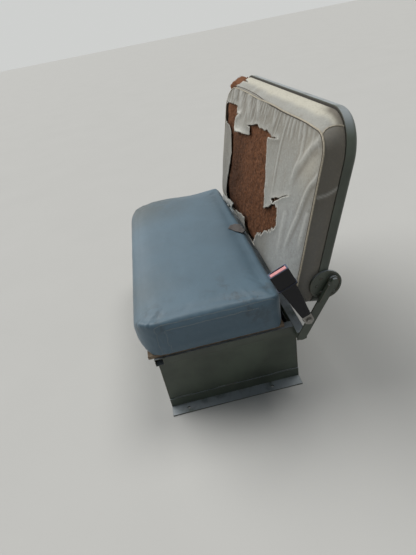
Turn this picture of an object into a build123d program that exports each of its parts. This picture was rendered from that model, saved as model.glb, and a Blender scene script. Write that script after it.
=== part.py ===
from build123d import *
from math import atan2, cos, degrees, radians, sin
import os

# Two-place bench seat for the passenger's side of a truck cab: a cushion on a tipping frame, a padded
# back that folds forward, and the steel stowage box that carries them.
# Millimetres. The floor is Z = 0, the sitter looks along -Y and has +X on the left hand, and the
# origin is the middle of the floor bolts. Places are Y and Z of an axis unless a name says otherwise.

# Cushion
cushion_width = 1000
cushion_front = -256
cushion_depth = 466
cushion_top = 430
cushion_thickness = 127
cushion_crown = 8
nose_radius = 58
cushion_edge = 34
cushion_corner_front = 110
cushion_corner_rear = 50

# Board under the cushion and the square-tube frame that it is screwed to
board_thickness = 12
board_inset = 24
rail_size = 28
rail_wall = 2.5
front_rail_inset = 55
side_rail_inset = 16

# Back: a padded panel in a pressed steel shell, leaning back
back_lean = 12.5
back_behind_cushion = 31
back_width = 1015
back_top = 502
back_bottom = -45
seam_top = 452
seam_corner = 58
pad_depth = 57
pad_side_gap = 1
pad_rear_drop = 7
pad_corner = 112
shoulder_out = 21
shoulder_inset = 20
shoulder_below_seam = 96
shoulder_foot = 25
belly_out = 36
belly_inset = 80
belly_below_seam = 275
belly_foot = 62
belly_corner = 30
panel_thickness = 10
soft_gap = 0.3
shell_depth = 32
shell_wall = 2.5
shell_corner_top = 118
shell_corner_bottom = 40
shell_edge = 12
bead_length = 760
bead_width = 34
bead_height = 5
bead_heights = (95, 225, 355)

# Hinge of the back: its pivot and its disc from the front seam and the cushion's top, and their pieces
pivot_behind_seam = 111
pivot_above_cushion = 32
disc_behind_seam = 90
disc_above_cushion = 16
disc_radius = 48
disc_thickness = 5
disc_rim_width = 6
disc_rim_height = 2
disc_boss_radius = 17
stop_radius = 4
stop_below_pivot = 34
pivot_bolt_radius = 8
pivot_head_radius = 12
pivot_head_height = 8
shoulder_radius = 13
running_gap = 0.05
face_gap = 0.2
bracket_gap = 4
bracket_thickness = 5
bracket_width = 28
bracket_rake = 101
lip_height = 8
lip_thickness = 4
lip_low = 132
lip_high = 196

# Belt buckle on its stalk, at the sitter's left
anchor_before_pivot = 81
anchor_below_pivot = 117
anchor_ear_radius = 17
anchor_bolt_radius = 5.5
anchor_head_radius = 10
anchor_head_height = 7
anchor_shoulder_radius = 9
stalk_lean = 23
eye_radius = 15
eye_thickness = 3
eye_length = 30
sleeve_low_width = 30
sleeve_width = 50
sleeve_thickness = 15
sleeve_edge = 5
sleeve_length = 130
case_width = 58
case_thickness = 24
case_length = 60
case_edge = 5
case_wall = 2.5
collar_proud = 1.5
collar_height = 4
button_width = 48
button_thickness = 12
button_depth = 9
button_proud = 1.5
button_gap = 0.4
tongue_slot_width = 44
tongue_slot_thickness = 4.7
tongue_slot_depth = 26
stalk_clearance = 5
eye_inset = 1.5

# Stowage box, its floor angles and the rubber bumpers that the frame comes down on
box_width = 860
box_top = 255
box_wall = 3
box_flange = 25
box_behind_rail = 11
swage_margin = 62
swage_height = 4
swage_corner = 26
angle_leg = 45
angle_height = 40
angle_thickness = 4
floor_bolt_spacing_y = 310
floor_bolt_from_box = 26
floor_bolt_radius = 5.5
bumper_radius = 9
bumper_from_end = 45

# Tipping hinges at the front of the box
hinge_from_end = 130
knuckle_radius = 5
knuckle_length = 20
knuckle_gap = 0.5
leaf_gap = 1
hinge_pin_radius = 2.5
leaf_thickness = 3
leaf_length = 60
leaf_low = 28
leaf_high = 24

# Places that follow, front to back
cushion_rear = cushion_front + cushion_depth
back_seam_y = cushion_rear + back_behind_cushion
pivot_y = back_seam_y + pivot_behind_seam
disc_y = back_seam_y + disc_behind_seam
anchor_y = pivot_y - anchor_before_pivot
rail_front_y = cushion_front + front_rail_inset
rail_rear_y = pivot_y - bracket_rake
box_front = rail_front_y - rail_size / 2
box_rear = rail_rear_y + box_behind_rail
tip_axis_y = box_front - knuckle_radius - knuckle_gap

# Heights that follow
cushion_bottom = cushion_top - cushion_thickness
board_bottom = cushion_bottom - board_thickness
rail_z = board_bottom - rail_size / 2
rail_bottom = board_bottom - rail_size
pivot_z = cushion_top + pivot_above_cushion
disc_z = cushion_top + disc_above_cushion
anchor_z = pivot_z - anchor_below_pivot
tip_axis_z = (box_top + rail_bottom) / 2

# Distances from the middle, out to one end of the seat
back_half = back_width / 2
disc_face = back_half + disc_thickness + disc_rim_height
bracket_inner = disc_face + bracket_gap
bracket_outer = bracket_inner + bracket_thickness
stalk_x = bracket_outer + stalk_clearance + sleeve_thickness / 2
eye_inner = bracket_outer + stalk_clearance + eye_inset
eye_outer = eye_inner + eye_thickness
hinge_x = box_width / 2 - hinge_from_end
bumper_x = box_width / 2 - bumper_from_end

pieces = {}


def across(profile, half):
    """A Y-Z profile drawn out to both sides of the middle."""
    return extrude(Plane.YZ * profile, amount=half, both=True)


def layer(profile, low, high):
    """A Y-Z profile between two distances from the middle, on the left."""
    return extrude(Plane.YZ.offset(low) * profile, amount=high - low)


def block(x, y, z):
    """A box from three (low, high) pairs."""
    size = (x[1] - x[0], y[1] - y[0], z[1] - z[0])
    return Pos((x[0] + x[1]) / 2, (y[0] + y[1]) / 2, (z[0] + z[1]) / 2) * Box(*size)


def both_sides(name, shape):
    """Keeps a left piece and its mirror image."""
    pieces[name + "_left"] = shape
    pieces[name + "_right"] = mirror(shape, about=Plane.YZ)


def disc(radius, y, z, low, high):
    """A round with its axis along X."""
    return layer(Pos(y, z) * Circle(radius), low, high)


def hexagon(radius, y, z, low, high):
    return layer(Pos(y, z) * RegularPolygon(radius, 6), low, high)


def closed(*lines):
    return make_face([edge for line in lines for edge in line.edges()])


def rounded_outline(half, low, high, r_low, r_high):
    """An upright rectangle with one radius at its low corners and one at its high corners."""
    outline = Pos(0, (low + high) / 2) * Rectangle(2 * half, high - low)
    corners = outline.vertices().sort_by(Axis.Y)
    outline = fillet(corners[:2], r_low)
    corners = outline.vertices().group_by(Axis.Y)[-1]
    return fillet(corners, r_high)


# Plane of the back's front seam: x across, y up the back, z out of its front
lean = radians(back_lean)
back_plane = Plane((0, back_seam_y, cushion_top), x_dir=(1, 0, 0), z_dir=(0, -cos(lean), sin(lean)))


def bowed(start, end, bow):
    """An arc whose middle stands to the left of the straight way from start to end."""
    start, end = Vector(*start), Vector(*end)
    along = end - start
    middle = (start + end) * 0.5 + Vector(-along.Y, along.X).normalized() * bow
    return ThreePointArc(start, middle, end)


def corner_bow(radius):
    """Bow of a quarter round."""
    return radius * (1 - sin(radians(45)))


def cushion():
    """The crowned front-to-back profile, cut by the plan and by the rounded ends."""
    width, depth = cushion_width, cushion_rear - cushion_front
    nose_low = (cushion_front, cushion_top - nose_radius)
    nose_high = (cushion_front + nose_radius, cushion_top)
    rear_high = (cushion_rear - cushion_edge, cushion_top)
    rear_low = (cushion_rear, cushion_top - cushion_edge)
    body = across(closed(
        bowed(nose_low, nose_high, corner_bow(nose_radius)),
        bowed(nose_high, rear_high, cushion_crown),
        bowed(rear_high, rear_low, corner_bow(cushion_edge)),
        Polyline(
            rear_low, (cushion_rear, cushion_bottom), (cushion_front + cushion_edge, cushion_bottom),
            (cushion_front, cushion_bottom + cushion_edge), nose_low)), width / 2)
    plan = Pos(0, cushion_front + depth / 2) * Rectangle(width, depth)
    plan = fillet(plan.vertices().sort_by(Axis.Y)[:2], cushion_corner_front)
    plan = fillet(plan.vertices().group_by(Axis.Y)[-1], cushion_corner_rear)
    height = cushion_thickness + cushion_crown
    body = body & extrude(Pos(0, 0, cushion_bottom) * plan, amount=height)
    ends = rounded_outline(width / 2, cushion_bottom, cushion_bottom + height, cushion_edge / 2, cushion_edge)
    return body & extrude(Plane.XZ * ends, amount=depth, both=True)


# The pad's sections, from the panel to the fullest part of its belly. Columns: how far it stands out of
# the seam plane, inset at each side, low end, high end, radius of the low corners, of the high corners
pad_sections = (
    (-pad_depth + soft_gap, 0, back_bottom, back_top - pad_rear_drop, shell_corner_bottom, pad_corner),
    (0, 0, back_bottom, seam_top, shell_corner_bottom, seam_corner),
    (shoulder_out, shoulder_inset, back_bottom + shoulder_foot, seam_top - shoulder_below_seam,
     belly_corner, belly_corner),
    (belly_out, belly_inset, back_bottom + belly_foot, seam_top - belly_below_seam,
     belly_corner, belly_corner),
)


def back_pad():
    sections = [
        Pos(0, 0, out) * rounded_outline(back_half - pad_side_gap - inset, low, high, r_low, r_high)
        for out, inset, low, high, r_low, r_high in pad_sections]
    return back_plane * loft(sections, ruled=True)


def shell_solid(inset, depth):
    """The shell's outside, or its inside when inset by the wall."""
    outline = rounded_outline(
        back_half - inset, back_bottom + inset, back_top - inset, shell_corner_bottom - inset,
        shell_corner_top - inset)
    body = extrude(Pos(0, 0, -pad_depth) * outline, amount=-depth)
    rear = body.faces().sort_by(Axis.Z)[0]
    return fillet(rear.edges(), shell_edge - inset)


def back_shell():
    """Tray with three beads pressed outward across its rear."""
    rear = -pad_depth - shell_depth
    outside = shell_solid(0, shell_depth)
    inside = shell_solid(shell_wall, shell_depth - shell_wall)
    for height in bead_heights:
        outside += extrude(Pos(0, height, rear) * SlotOverall(bead_length, bead_width), amount=-bead_height)
        groove = SlotOverall(bead_length - 2 * shell_wall, bead_width - 2 * shell_wall)
        inside += extrude(Pos(0, height, rear + shell_wall) * groove, amount=-bead_height)
    return back_plane * (outside - inside)


def back_panel():
    """The board in the mouth of the shell, that the pad is stretched over."""
    inset = shell_wall
    outline = rounded_outline(
        back_half - inset, back_bottom + inset, back_top - inset, shell_corner_bottom - inset,
        shell_corner_top - inset)
    return back_plane * extrude(Pos(0, 0, -pad_depth) * outline, amount=-panel_thickness)


# Slope of the brackets, from the rear rail up to the pivot
bracket_angle = degrees(atan2(pivot_z - rail_z, bracket_rake))


def hinge_disc():
    """Round plate on the shell's side, with a raised rim and boss, and the pin that stops the back."""
    plate = disc(disc_radius, disc_y, disc_z, back_half, back_half + disc_thickness)
    rim = disc(disc_radius, disc_y, disc_z, back_half, disc_face)
    rim -= disc(disc_radius - disc_rim_width, disc_y, disc_z, back_half, disc_face)
    boss = disc(disc_boss_radius, pivot_y, pivot_z, back_half, disc_face)
    bore = disc(pivot_bolt_radius + running_gap, pivot_y, pivot_z, back_half, disc_face)
    side = (bracket_width / 2 + stop_radius + face_gap, -stop_below_pivot)
    angle = radians(bracket_angle - 90)
    stop_y = pivot_y + side[0] * cos(angle) - side[1] * sin(angle)
    stop_z = pivot_z + side[0] * sin(angle) + side[1] * cos(angle)
    stop = disc(stop_radius, stop_y, stop_z, back_half, bracket_outer)
    return plate + rim + boss + stop - bore


def bracket():
    """The arm from the rear rail up to the pivot, its front edge turned out into a lip."""
    foot = Vector(rail_rear_y, rail_z)
    head = Vector(pivot_y, pivot_z)
    middle = (foot + head) * 0.5
    strap = SlotCenterToCenter((head - foot).length, bracket_width)
    strap = Pos(middle.X, middle.Y) * Rot(0, 0, bracket_angle) * strap
    ear = Pos(anchor_y, anchor_z) * Circle(anchor_ear_radius)
    plate = layer(strap + ear, bracket_inner, bracket_outer)
    lip_middle = (lip_low + lip_high) / 2
    lip = Pos(foot.X, foot.Y) * Rot(0, 0, bracket_angle) * Pos(
        lip_middle, (bracket_width - lip_thickness) / 2) * Rectangle(lip_high - lip_low, lip_thickness)
    plate += layer(lip, bracket_inner, bracket_outer + lip_height)
    plate -= disc(pivot_bolt_radius + running_gap, pivot_y, pivot_z, bracket_inner, bracket_outer)
    return plate - disc(anchor_bolt_radius + running_gap, anchor_y, anchor_z, bracket_inner, bracket_outer)


def pivot_bolt():
    shank = disc(pivot_bolt_radius, pivot_y, pivot_z, back_half + 2 * face_gap, bracket_outer)
    shoulder = disc(shoulder_radius, pivot_y, pivot_z, disc_face + face_gap, bracket_inner)
    head = hexagon(pivot_head_radius, pivot_y, pivot_z, bracket_outer, bracket_outer + pivot_head_height)
    return shank + shoulder + head


def anchor_bolt():
    head_low = eye_outer + face_gap
    bolt = disc(anchor_bolt_radius, anchor_y, anchor_z, bracket_inner, head_low)
    bolt += disc(anchor_shoulder_radius, anchor_y, anchor_z, bracket_outer, eye_inner - face_gap)
    return bolt + hexagon(anchor_head_radius, anchor_y, anchor_z, head_low, head_low + anchor_head_height)


# Plane of the stalk: x across, y forward of it, z up the stalk, from the anchor bolt
stalk = radians(stalk_lean)
stalk_plane = Plane((stalk_x, anchor_y, anchor_z), x_dir=(1, 0, 0), z_dir=(0, -sin(stalk), cos(stalk)))
case_low = eye_length + sleeve_length
case_high = case_low + case_length


def buckle_eye():
    """Flat steel strap with the eye for the anchor bolt."""
    low = eye_inner - stalk_x
    ring = Plane.YZ.offset(low) * (Circle(eye_radius) + Pos(0, eye_length / 2) * Rectangle(
        2 * eye_radius, eye_length))
    strap = extrude(ring, amount=eye_thickness)
    bore = Plane.YZ.offset(low) * Circle(anchor_bolt_radius + running_gap)
    return stalk_plane * (strap - extrude(bore, amount=eye_thickness))


def buckle_sleeve():
    """Moulded boot over the stalk, widening up to the case."""
    ends = [
        Pos(0, 0, z) * RectangleRounded(sleeve_thickness, width, sleeve_edge)
        for z, width in ((eye_length, sleeve_low_width), (case_low, sleeve_width))]
    return stalk_plane * loft(ends)


button_x = case_thickness / 2 - case_wall - button_gap - button_thickness / 2


def buckle_case():
    body = Pos(0, 0, case_low) * RectangleRounded(case_thickness, case_width, case_edge)
    body = extrude(body, amount=case_length)
    collar = RectangleRounded(case_thickness + 2 * collar_proud, case_width + 2 * collar_proud, case_edge)
    body += extrude(Pos(0, 0, case_low) * collar, amount=collar_height)
    pocket = Pos(button_x, 0, case_high - button_depth / 2) * Box(
        button_thickness + 2 * button_gap, button_width + 2 * button_gap, button_depth)
    slot_x = -case_thickness / 2 + case_wall + tongue_slot_thickness / 2
    slot = Pos(slot_x, 0, case_high - tongue_slot_depth / 2) * Box(
        tongue_slot_thickness, tongue_slot_width, tongue_slot_depth)
    return stalk_plane * (body - pocket - slot)


def buckle_button():
    length = button_depth + button_proud
    return stalk_plane * Pos(button_x, 0, case_high - button_depth + length / 2) * Box(
        button_thickness, button_width, length)


def square_tube(x, y, z, axis):
    """Square tube from three (low, high) pairs, open along one axis."""
    spans = [x, y, z]
    inner = [s if i == axis else (s[0] + rail_wall, s[1] - rail_wall) for i, s in enumerate(spans)]
    return block(*spans) - block(*inner)


def around(centre):
    return (centre - rail_size / 2, centre + rail_size / 2)


def box_panel(face, inward):
    """Front or rear of the box from its outer face: a pressed swage, and the top edge turned inward."""
    half = box_width / 2
    wall_y = sorted((face, face + inward * box_wall))
    flange_y = sorted((face, face + inward * box_flange))
    panel = block((-half, half), wall_y, (0, box_top))
    panel += block((-half, half), flange_y, (box_top - box_wall, box_top))
    swage = RectangleRounded(box_width - 2 * swage_margin, box_top - 2 * swage_margin, swage_corner)
    hollow = offset(swage, -box_wall)
    plane = Plane((0, face, box_top / 2), x_dir=(inward, 0, 0), z_dir=(0, -inward, 0))
    panel += extrude(plane * swage, amount=swage_height)
    return panel - extrude(plane.offset(swage_height - box_wall) * hollow, amount=-swage_height)


def floor_angle():
    half = box_width / 2
    y = (box_front, box_rear)
    foot = block((half, half + angle_leg), y, (0, angle_thickness))
    foot += block((half, half + angle_thickness), y, (0, angle_height))
    for y in (-floor_bolt_spacing_y / 2, floor_bolt_spacing_y / 2):
        hole = Cylinder(floor_bolt_radius, angle_thickness)
        foot -= Pos(half + floor_bolt_from_box, y, angle_thickness / 2) * hole
    return foot


leaf_y = (box_front - leaf_thickness, box_front)
leaf_edge = knuckle_radius + leaf_gap


def knuckle(low, high, strip):
    """One knuckle between two places along the hinge, and the strip that joins it to its leaf."""
    x = (hinge_x + low, hinge_x + high)
    return block(x, leaf_y, strip) + disc(knuckle_radius, tip_axis_y, tip_axis_z, *x)


def fixed_leaf():
    """Leaf on the box with the outer knuckles and the pin."""
    end = leaf_length / 2
    middle = knuckle_length / 2 + face_gap
    top = tip_axis_z - leaf_edge
    leaf = block((hinge_x - end, hinge_x + end), leaf_y, (tip_axis_z - leaf_low, top))
    leaf += knuckle(-end, -middle, (top, tip_axis_z))
    leaf += knuckle(middle, end, (top, tip_axis_z))
    return leaf + disc(hinge_pin_radius, tip_axis_y, tip_axis_z, hinge_x - end, hinge_x + end)


def moving_leaf():
    """Leaf on the front rail with the middle knuckle."""
    end = leaf_length / 2
    middle = knuckle_length / 2
    low = tip_axis_z + leaf_edge
    leaf = block((hinge_x - end, hinge_x + end), leaf_y, (low, tip_axis_z + leaf_high))
    leaf += knuckle(-middle, middle, (tip_axis_z, low))
    return leaf - disc(hinge_pin_radius + running_gap, tip_axis_y, tip_axis_z, hinge_x - end, hinge_x + end)


# Seat and its frame
side_rail_outer = cushion_width / 2 - side_rail_inset
side_rail = (side_rail_outer - rail_size, side_rail_outer)
pieces["cushion"] = cushion()
pieces["cushion_board"] = block(
    (-cushion_width / 2 + board_inset, cushion_width / 2 - board_inset),
    (cushion_front + board_inset, cushion_rear), (board_bottom, cushion_bottom))
pieces["front_rail"] = square_tube(
    (-side_rail_outer, side_rail_outer), around(rail_front_y), around(rail_z), 0)
pieces["rear_rail"] = square_tube((-bracket_inner, bracket_inner), around(rail_rear_y), around(rail_z), 0)
both_sides("side_rail", square_tube(
    side_rail, (rail_front_y + rail_size / 2, rail_rear_y - rail_size / 2), around(rail_z), 1))
both_sides("back_bracket", bracket())
both_sides("pivot_bolt", pivot_bolt())
pieces["anchor_bolt"] = anchor_bolt()

# Back
pieces["back_pad"] = back_pad()
pieces["back_panel"] = back_panel()
pieces["back_shell"] = back_shell()
both_sides("hinge_disc", hinge_disc())

# Buckle
pieces["buckle_eye"] = buckle_eye()
pieces["buckle_sleeve"] = buckle_sleeve()
pieces["buckle_case"] = buckle_case()
pieces["buckle_button"] = buckle_button()

# Stowage box
inner_half = box_width / 2 - box_wall
inner_y = (box_front + box_wall, box_rear - box_wall)
pieces["box_front"] = box_panel(box_front, 1)
pieces["box_rear"] = box_panel(box_rear, -1)
both_sides("box_side", block((inner_half, box_width / 2), inner_y, (0, box_top - box_wall)))
pieces["box_floor"] = block((-inner_half, inner_half), inner_y, (0, box_wall))
both_sides("floor_angle", floor_angle())
bumper_height = rail_bottom - soft_gap - box_top
bumpers = [
    Pos(x, y, box_top + bumper_height / 2) * Cylinder(bumper_radius, bumper_height)
    for x in (-bumper_x, bumper_x) for y in (box_front + box_flange / 2, box_rear - box_flange / 2)]
pieces["rubber_bumpers"] = Compound(children=bumpers)
both_sides("box_hinge_leaf", fixed_leaf())
both_sides("frame_hinge_leaf", moving_leaf())

os.makedirs("parts", exist_ok=True)
for name, shape in pieces.items():
    export_step(shape, f"parts/{name}.step")
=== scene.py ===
"""Looks of a two-place bench seat for a truck cab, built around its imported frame."""
import math
import random
from functools import cache

import bmesh
import bpy
import numpy as np
from bpy.props import FloatProperty, FloatVectorProperty, IntProperty, PointerProperty
from mathutils import Matrix, Vector, noise
from mathutils.bvhtree import BVHTree
from mathutils.geometry import delaunay_2d_cdt
from mathutils.kdtree import KDTree


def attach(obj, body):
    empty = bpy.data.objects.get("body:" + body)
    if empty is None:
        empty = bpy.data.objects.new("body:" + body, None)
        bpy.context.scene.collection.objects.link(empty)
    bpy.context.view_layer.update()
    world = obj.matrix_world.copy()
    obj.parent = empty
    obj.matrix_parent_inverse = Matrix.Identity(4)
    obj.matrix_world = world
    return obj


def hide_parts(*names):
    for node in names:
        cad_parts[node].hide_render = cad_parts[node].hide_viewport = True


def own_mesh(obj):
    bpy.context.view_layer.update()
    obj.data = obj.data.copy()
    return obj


bl_info = {
    "name": "Cab bench seat",
    "version": (1, 0, 0),
    "blender": (4, 5, 0),
    "location": "3D View > Sidebar > Bench seat",
    "description": "Builds the covers, padding, seams and finishes of a cab bench seat",
    "category": "Object",
}

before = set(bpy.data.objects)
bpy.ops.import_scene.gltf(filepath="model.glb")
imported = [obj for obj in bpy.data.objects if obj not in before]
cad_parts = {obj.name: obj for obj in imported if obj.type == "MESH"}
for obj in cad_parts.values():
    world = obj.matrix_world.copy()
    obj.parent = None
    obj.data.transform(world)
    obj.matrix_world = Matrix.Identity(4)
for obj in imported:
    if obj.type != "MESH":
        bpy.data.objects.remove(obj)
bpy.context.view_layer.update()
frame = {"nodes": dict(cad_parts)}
nodes = frame["nodes"]

MM = 0.001

# The back's own plane, from the middle of its front seam at the cushion's height
LEAN = math.radians(12.5)
SEAM_MIDDLE = np.array((0.0, 0.241, 0.430))
ACROSS = np.array((1.0, 0.0, 0.0))
UP = np.array((0.0, math.sin(LEAN), math.cos(LEAN)))
OUT = np.array((0.0, -math.cos(LEAN), math.sin(LEAN)))

# Sizes of the back's cover, in metres on that plane
COVER_HALF = 0.5065
COVER_LOW = -0.045
COVER_TOP = 0.452
BAND_TOP = 0.495
BAND_DEPTH = 0.0567
LOW_CORNER = 0.040
SEAM_CORNER = 0.058
FAR_SEAM_CORNER = 0.100
BAND_CORNER = 0.112
BELLY_OUT = 0.035
BELLY_UP = 0.060
# The band's own width, from its front seam to the shell
BAND_WIDTH = math.hypot(BAND_TOP - COVER_TOP, BAND_DEPTH)
# How far inside the front seam its stitches run
STITCHES_IN = 0.007

# Cloth: thickness of the cover, and of the strip that is curled on itself
CLOTH_THICKNESS = 0.0013
STRIP_THICKNESS = 0.0030
# Soft pieces: how far they are drawn in before they swell, the mesh for it and the frames that it takes
SOFT_SHRINK = 0.003
SOFT_MESH = 0.008
SWELL_FRAMES = 20

# Middle of the hinge discs: back, and above the floor
DISC_MIDDLE = (0.331, 0.446)
# The rivets round them: the discs' outer face, the radius of their ring and where on it they are
DISC_FACE = 0.5125
RIVET_RING = 0.0275
RIVET_TURNS = (120, 180, 240, 300)
# Screws in the foot of the back's shell: across, and how far out of the back's plane
SHELL_SCREWS = (-0.36, -0.18, 0.0, 0.18, 0.36)
SHELL_SCREWS_OUT = -0.064
# Screws of the tipping hinges: across, the front face of the leaves, and the height on each body
LEAF_SCREWS = (-0.318, -0.282, 0.282, 0.318)
LEAF_FACE = -0.218
LEAF_SCREWS_UP = (("base", 0.2390), ("seat", 0.2755))
# Screws through the side rails into the cushion's board: across, along, and the rails' underside
BOARD_SCREWS_ACROSS = (-0.47, 0.47)
BOARD_SCREWS_ALONG = (-0.16, 0.0, 0.16)
RAIL_UNDERSIDE = 0.263
# Welds of the floor angles: how far from the middle, how high, and from where to where
ANGLE_WELD_OUT = 0.4305
ANGLE_WELD_UP = 0.0405
ANGLE_WELD_RUNS = ((-0.195, -0.135), (-0.035, 0.035), (0.175, 0.235))
# Heights of the welds above and below the side rails, and of the upright ones between them
RAIL_WELDS_UP = (0.2912, 0.2628)
RAIL_WELDS_UPRIGHT = (0.264, 0.290)
# Middle of the cushion seen from its end: back, and above the floor
CUSHION_MIDDLE = (-0.027, 0.365)
# How far from that middle the rays start that find where a seam crosses the cushion
RAY_LENGTH = 0.6
# Height up to which the cushion is held while it swells, and the most that it and the pad swell
CUSHION_HELD = 0.330
CUSHION_SWELL = 0.0065
PAD_SWELL = 0.0050
# Where the rounding of the cushion's rear top edge starts: back, and above the floor
REAR_EDGE = (0.176, 0.396)
# Seam of the cushion's end panels, from the middle, and how far its stitches run on each side of it
CUSHION_SEAM = 0.4925
CUSHION_STITCHES = 0.0035
# Where the cushion's far end sinks in: across towards that end, and up
SUNKEN_ACROSS = (0.36, 0.50)
SUNKEN_UP = (0.33, 0.40)
# How much fuller the cushion's front has become
FULLER_FRONT = 0.0030
# Across, from where to where the cushion's rear edge becomes firm: from its far end, and from its near end
FIRM_FAR = (-0.400, -0.300)
FIRM_NEAR = (0.480, 0.420)
# Heights over which the cushion's seams and folds come in, and the waves of its top
SEAMS_FROM = (0.306, 0.322)
WAVES_FROM = (0.37, 0.42)
# Depth of the cushion's pressed seams, height of the puckers along them and of the waves of its top
SEAM_DEPTH = 0.0012
PUCKER_HEIGHT = 0.0011
WAVE_HEIGHT = 0.0016
# Wrinkles at the cushion's corners: both ends, width and height
CUSHION_FOLDS = (
    ((0.470, -0.235), (0.400, -0.190), 0.006, 0.0016),
    ((0.478, -0.205), (0.410, -0.150), 0.006, 0.0014),
    ((0.476, 0.120), (0.400, 0.090), 0.007, 0.0014),
    ((-0.470, -0.230), (-0.400, -0.185), 0.006, 0.0016),
)
# Scrap of cover on the cushion: across and back, in millimetres
SCRAP = ((8, 148), (-20, 161), (-31, 184), (-8, 202), (44, 208), (60, 194), (38, 174), (17, 160))
# Strip of cover on the cushion's rear edge: its far low corner on the back's plane, its run and width
STRIP_START = (-0.318, -0.013)
STRIP_RUN = (0.196, 0.030)
STRIP_WIDTH = 0.027
# Middle of the flap that hangs loose at the top of the tear: across and up
FLAP = (-0.240, 0.335)
# How far from the hinge disc's middle the band starts to swell, and where it swells fully
DISC_CLEAR = (0.050, 0.095)
# The torn far top corner starts this far across and this far up
TORN_CORNER = (-0.44, 0.43)
# Its hair rises and spreads over these stretches: across towards the far end, and up
HAIR_RISES = ((0.34, 0.45), (0.37, 0.45))
HAIR_SPREADS = ((0.42, 0.49), (0.41, 0.45))
# How far that hair stands up, across and out
HAIR_UP = 0.022
HAIR_ACROSS = 0.032
HAIR_OUT = 0.008
# Crease on the near side of the band: up, and share of the band's depth
SIDE_CREASE = ((0.300, 0.10), (0.311, 0.48), (0.320, 0.70), (0.334, 1.0))

# The floor: half its side, and its corners in order
FLOOR_HALF = 40
FLOOR_CORNERS = ((-1, -1), (1, -1), (1, 1), (-1, 1))
# The camera: its lens and its sensor in millimetres, and its place as the rows of its matrix
CAMERA_LENS = 25.462
CAMERA_SENSOR = 36.0
CAMERA_PLACE = (
    (0.1704, -0.5246, 0.8341, 1.3969),
    (0.9717, 0.2297, -0.0540, -0.0588),
    (-0.1633, 0.8197, 0.5490, 1.1469),
    (0, 0, 0, 1),
)

# The tear in the back's front panel, as a tailor would chalk it: across and up, in millimetres
TEAR = (
    (-520, 388), (-489, 390), (-442, 388), (-393, 391), (-336, 393), (-312, 395), (-304, 383),
    (-292, 369), (-246, 373), (-280, 363), (-307, 347), (-313, 332), (-300, 320), (-281, 308),
    (-266, 302), (-211, 312), (-161, 316), (-105, 323), (-80, 328), (-90, 340), (-98, 350), (-131, 352),
    (-98, 360), (-76, 362), (-52, 370), (-31, 376), (-10, 378), (20, 371), (44, 377), (72, 374),
    (100, 383), (120, 377), (139, 378), (156, 371), (180, 377), (214, 379), (172, 370), (150, 366),
    (124, 362), (126, 348), (135, 333), (149, 309), (166, 279), (183, 249), (195, 226), (206, 203),
    (217, 180), (226, 159), (240, 169), (264, 180), (285, 196), (310, 206), (322, 198), (330, 204),
    (338, 184), (344, 168), (349, 153), (343, 140), (334, 129), (327, 134), (320, 129), (318, 120),
    (313, 113), (304, 118), (296, 104), (284, 105), (262, 95), (254, 80), (241, 65), (232, 74),
    (222, 60), (209, 64), (200, 50), (191, 41), (182, 30), (161, 5), (150, -24), (36, -26), (33, 8),
    (31, 46), (4, 36), (-20, 38), (-44, 30), (-70, 24), (-98, 18), (-126, 9), (-130, -24), (-270, -26),
    (-290, 4), (-308, 18), (-312, 47), (-305, 79), (-303, 108), (-295, 139), (-298, 180), (-301, 206),
    (-316, 229), (-331, 252), (-351, 273), (-376, 289), (-406, 299), (-440, 306), (-520, 316),
)
SMALL_TEAR = (
    (270, 206), (276, 214), (287, 217), (300, 224), (329, 233), (360, 252), (386, 260), (352, 244),
    (322, 224), (305, 213), (297, 203), (283, 207),
)
# The torn far corner of the band above it: across, and back from the seam
BAND_TEAR = (
    (-540, -10), (-406, -8), (-402, 3), (-425, 10), (-455, 18), (-475, 26), (-462, 32), (-445, 37),
    (-400, 37), (-351, 38), (-385, 43), (-410, 47), (-437, 51), (-470, 55), (-455, 60), (-442, 66),
    (-445, 72), (-440, 80), (-540, 80),
)
# How far the top seam strays from its straight line: across, and how much higher
SEAM_STRAYS = (
    (-400, 0), (-300, 3), (-220, 3.7), (-100, 2.3), (60, 2.5), (120, 2.7), (180, 1.1), (240, 1.7),
    (320, 3.1), (380, 3.2), (420, 1.2), (448, 0),
)
# How far forward the cover's far edge has come: up, and how far
FAR_LIFT = ((-45, 6), (20, 9), (68, 10), (116, 14), (250, 15), (302, 16), (362, 18), (405, 16), (452, 12))
# How far the cushion's worn far end has sunk: along, and how far
FAR_DROP = (
    (-256, 15), (-215, 15), (-190, 13), (-164, 11), (-138, 7), (-61, 7), (-35, 9), (-10, 12), (16, 14),
    (42, 15.5), (95, 15.5), (121, 13.5), (147, 10), (173, 7), (210, 4),
)
# Where the near corner's piping runs: share of the band's depth, and how far past the corner's middle
CORNER_PIPING = ((0, 17), (0.15, 20), (0.30, 18), (0.55, 12), (1, 2))
# Long folds of the front panel, with painted highlight on their crests and painted shade beside them: width
# and height, then the way each one runs
DRAWN_FOLDS = (
    (16, 5.0, ((-397, 440), (-387, 405), (-377, 395))),
    (18, 5.0, ((-318, 445), (-302, 425), (-280, 397), (-263, 377))),
    (17, 5.0, ((-191, 448), (-180, 434), (-161, 408), (-138, 376), (-132, 356))),
    (13, 4.5, ((-67, 446), (-58, 431), (-43, 413), (-13, 378))),
    (7, 3.2, ((128, 444), (138, 414), (149, 385))),
    (5, 2.2, ((246, 446), (240, 405), (240, 364), (245, 323), (255, 267), (263, 208), (264, 180))),
    (7, 2.2, ((298, 445), (298, 421), (304, 387))),
    (4, 1.8, ((344, 449), (354, 434), (364, 420))),
    (6, 2.2, ((371, 449), (382, 424), (392, 377), (379, 337), (387, 297))),
    (10, 3.0, ((470, 430), (438, 405), (409, 368), (384, 337), (373, 300), (369, 262))),
    (6, 2.6, (
        (500, 352), (473, 315), (462, 284), (457, 257), (450, 223), (433, 166), (424, 126), (419, 77))),
    (6, 1.8, ((490, 245), (484, 181), (483, 122))),
    (9, 1.1, ((384, 204), (383, 166), (385, 121), (380, 60))),
)
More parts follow.
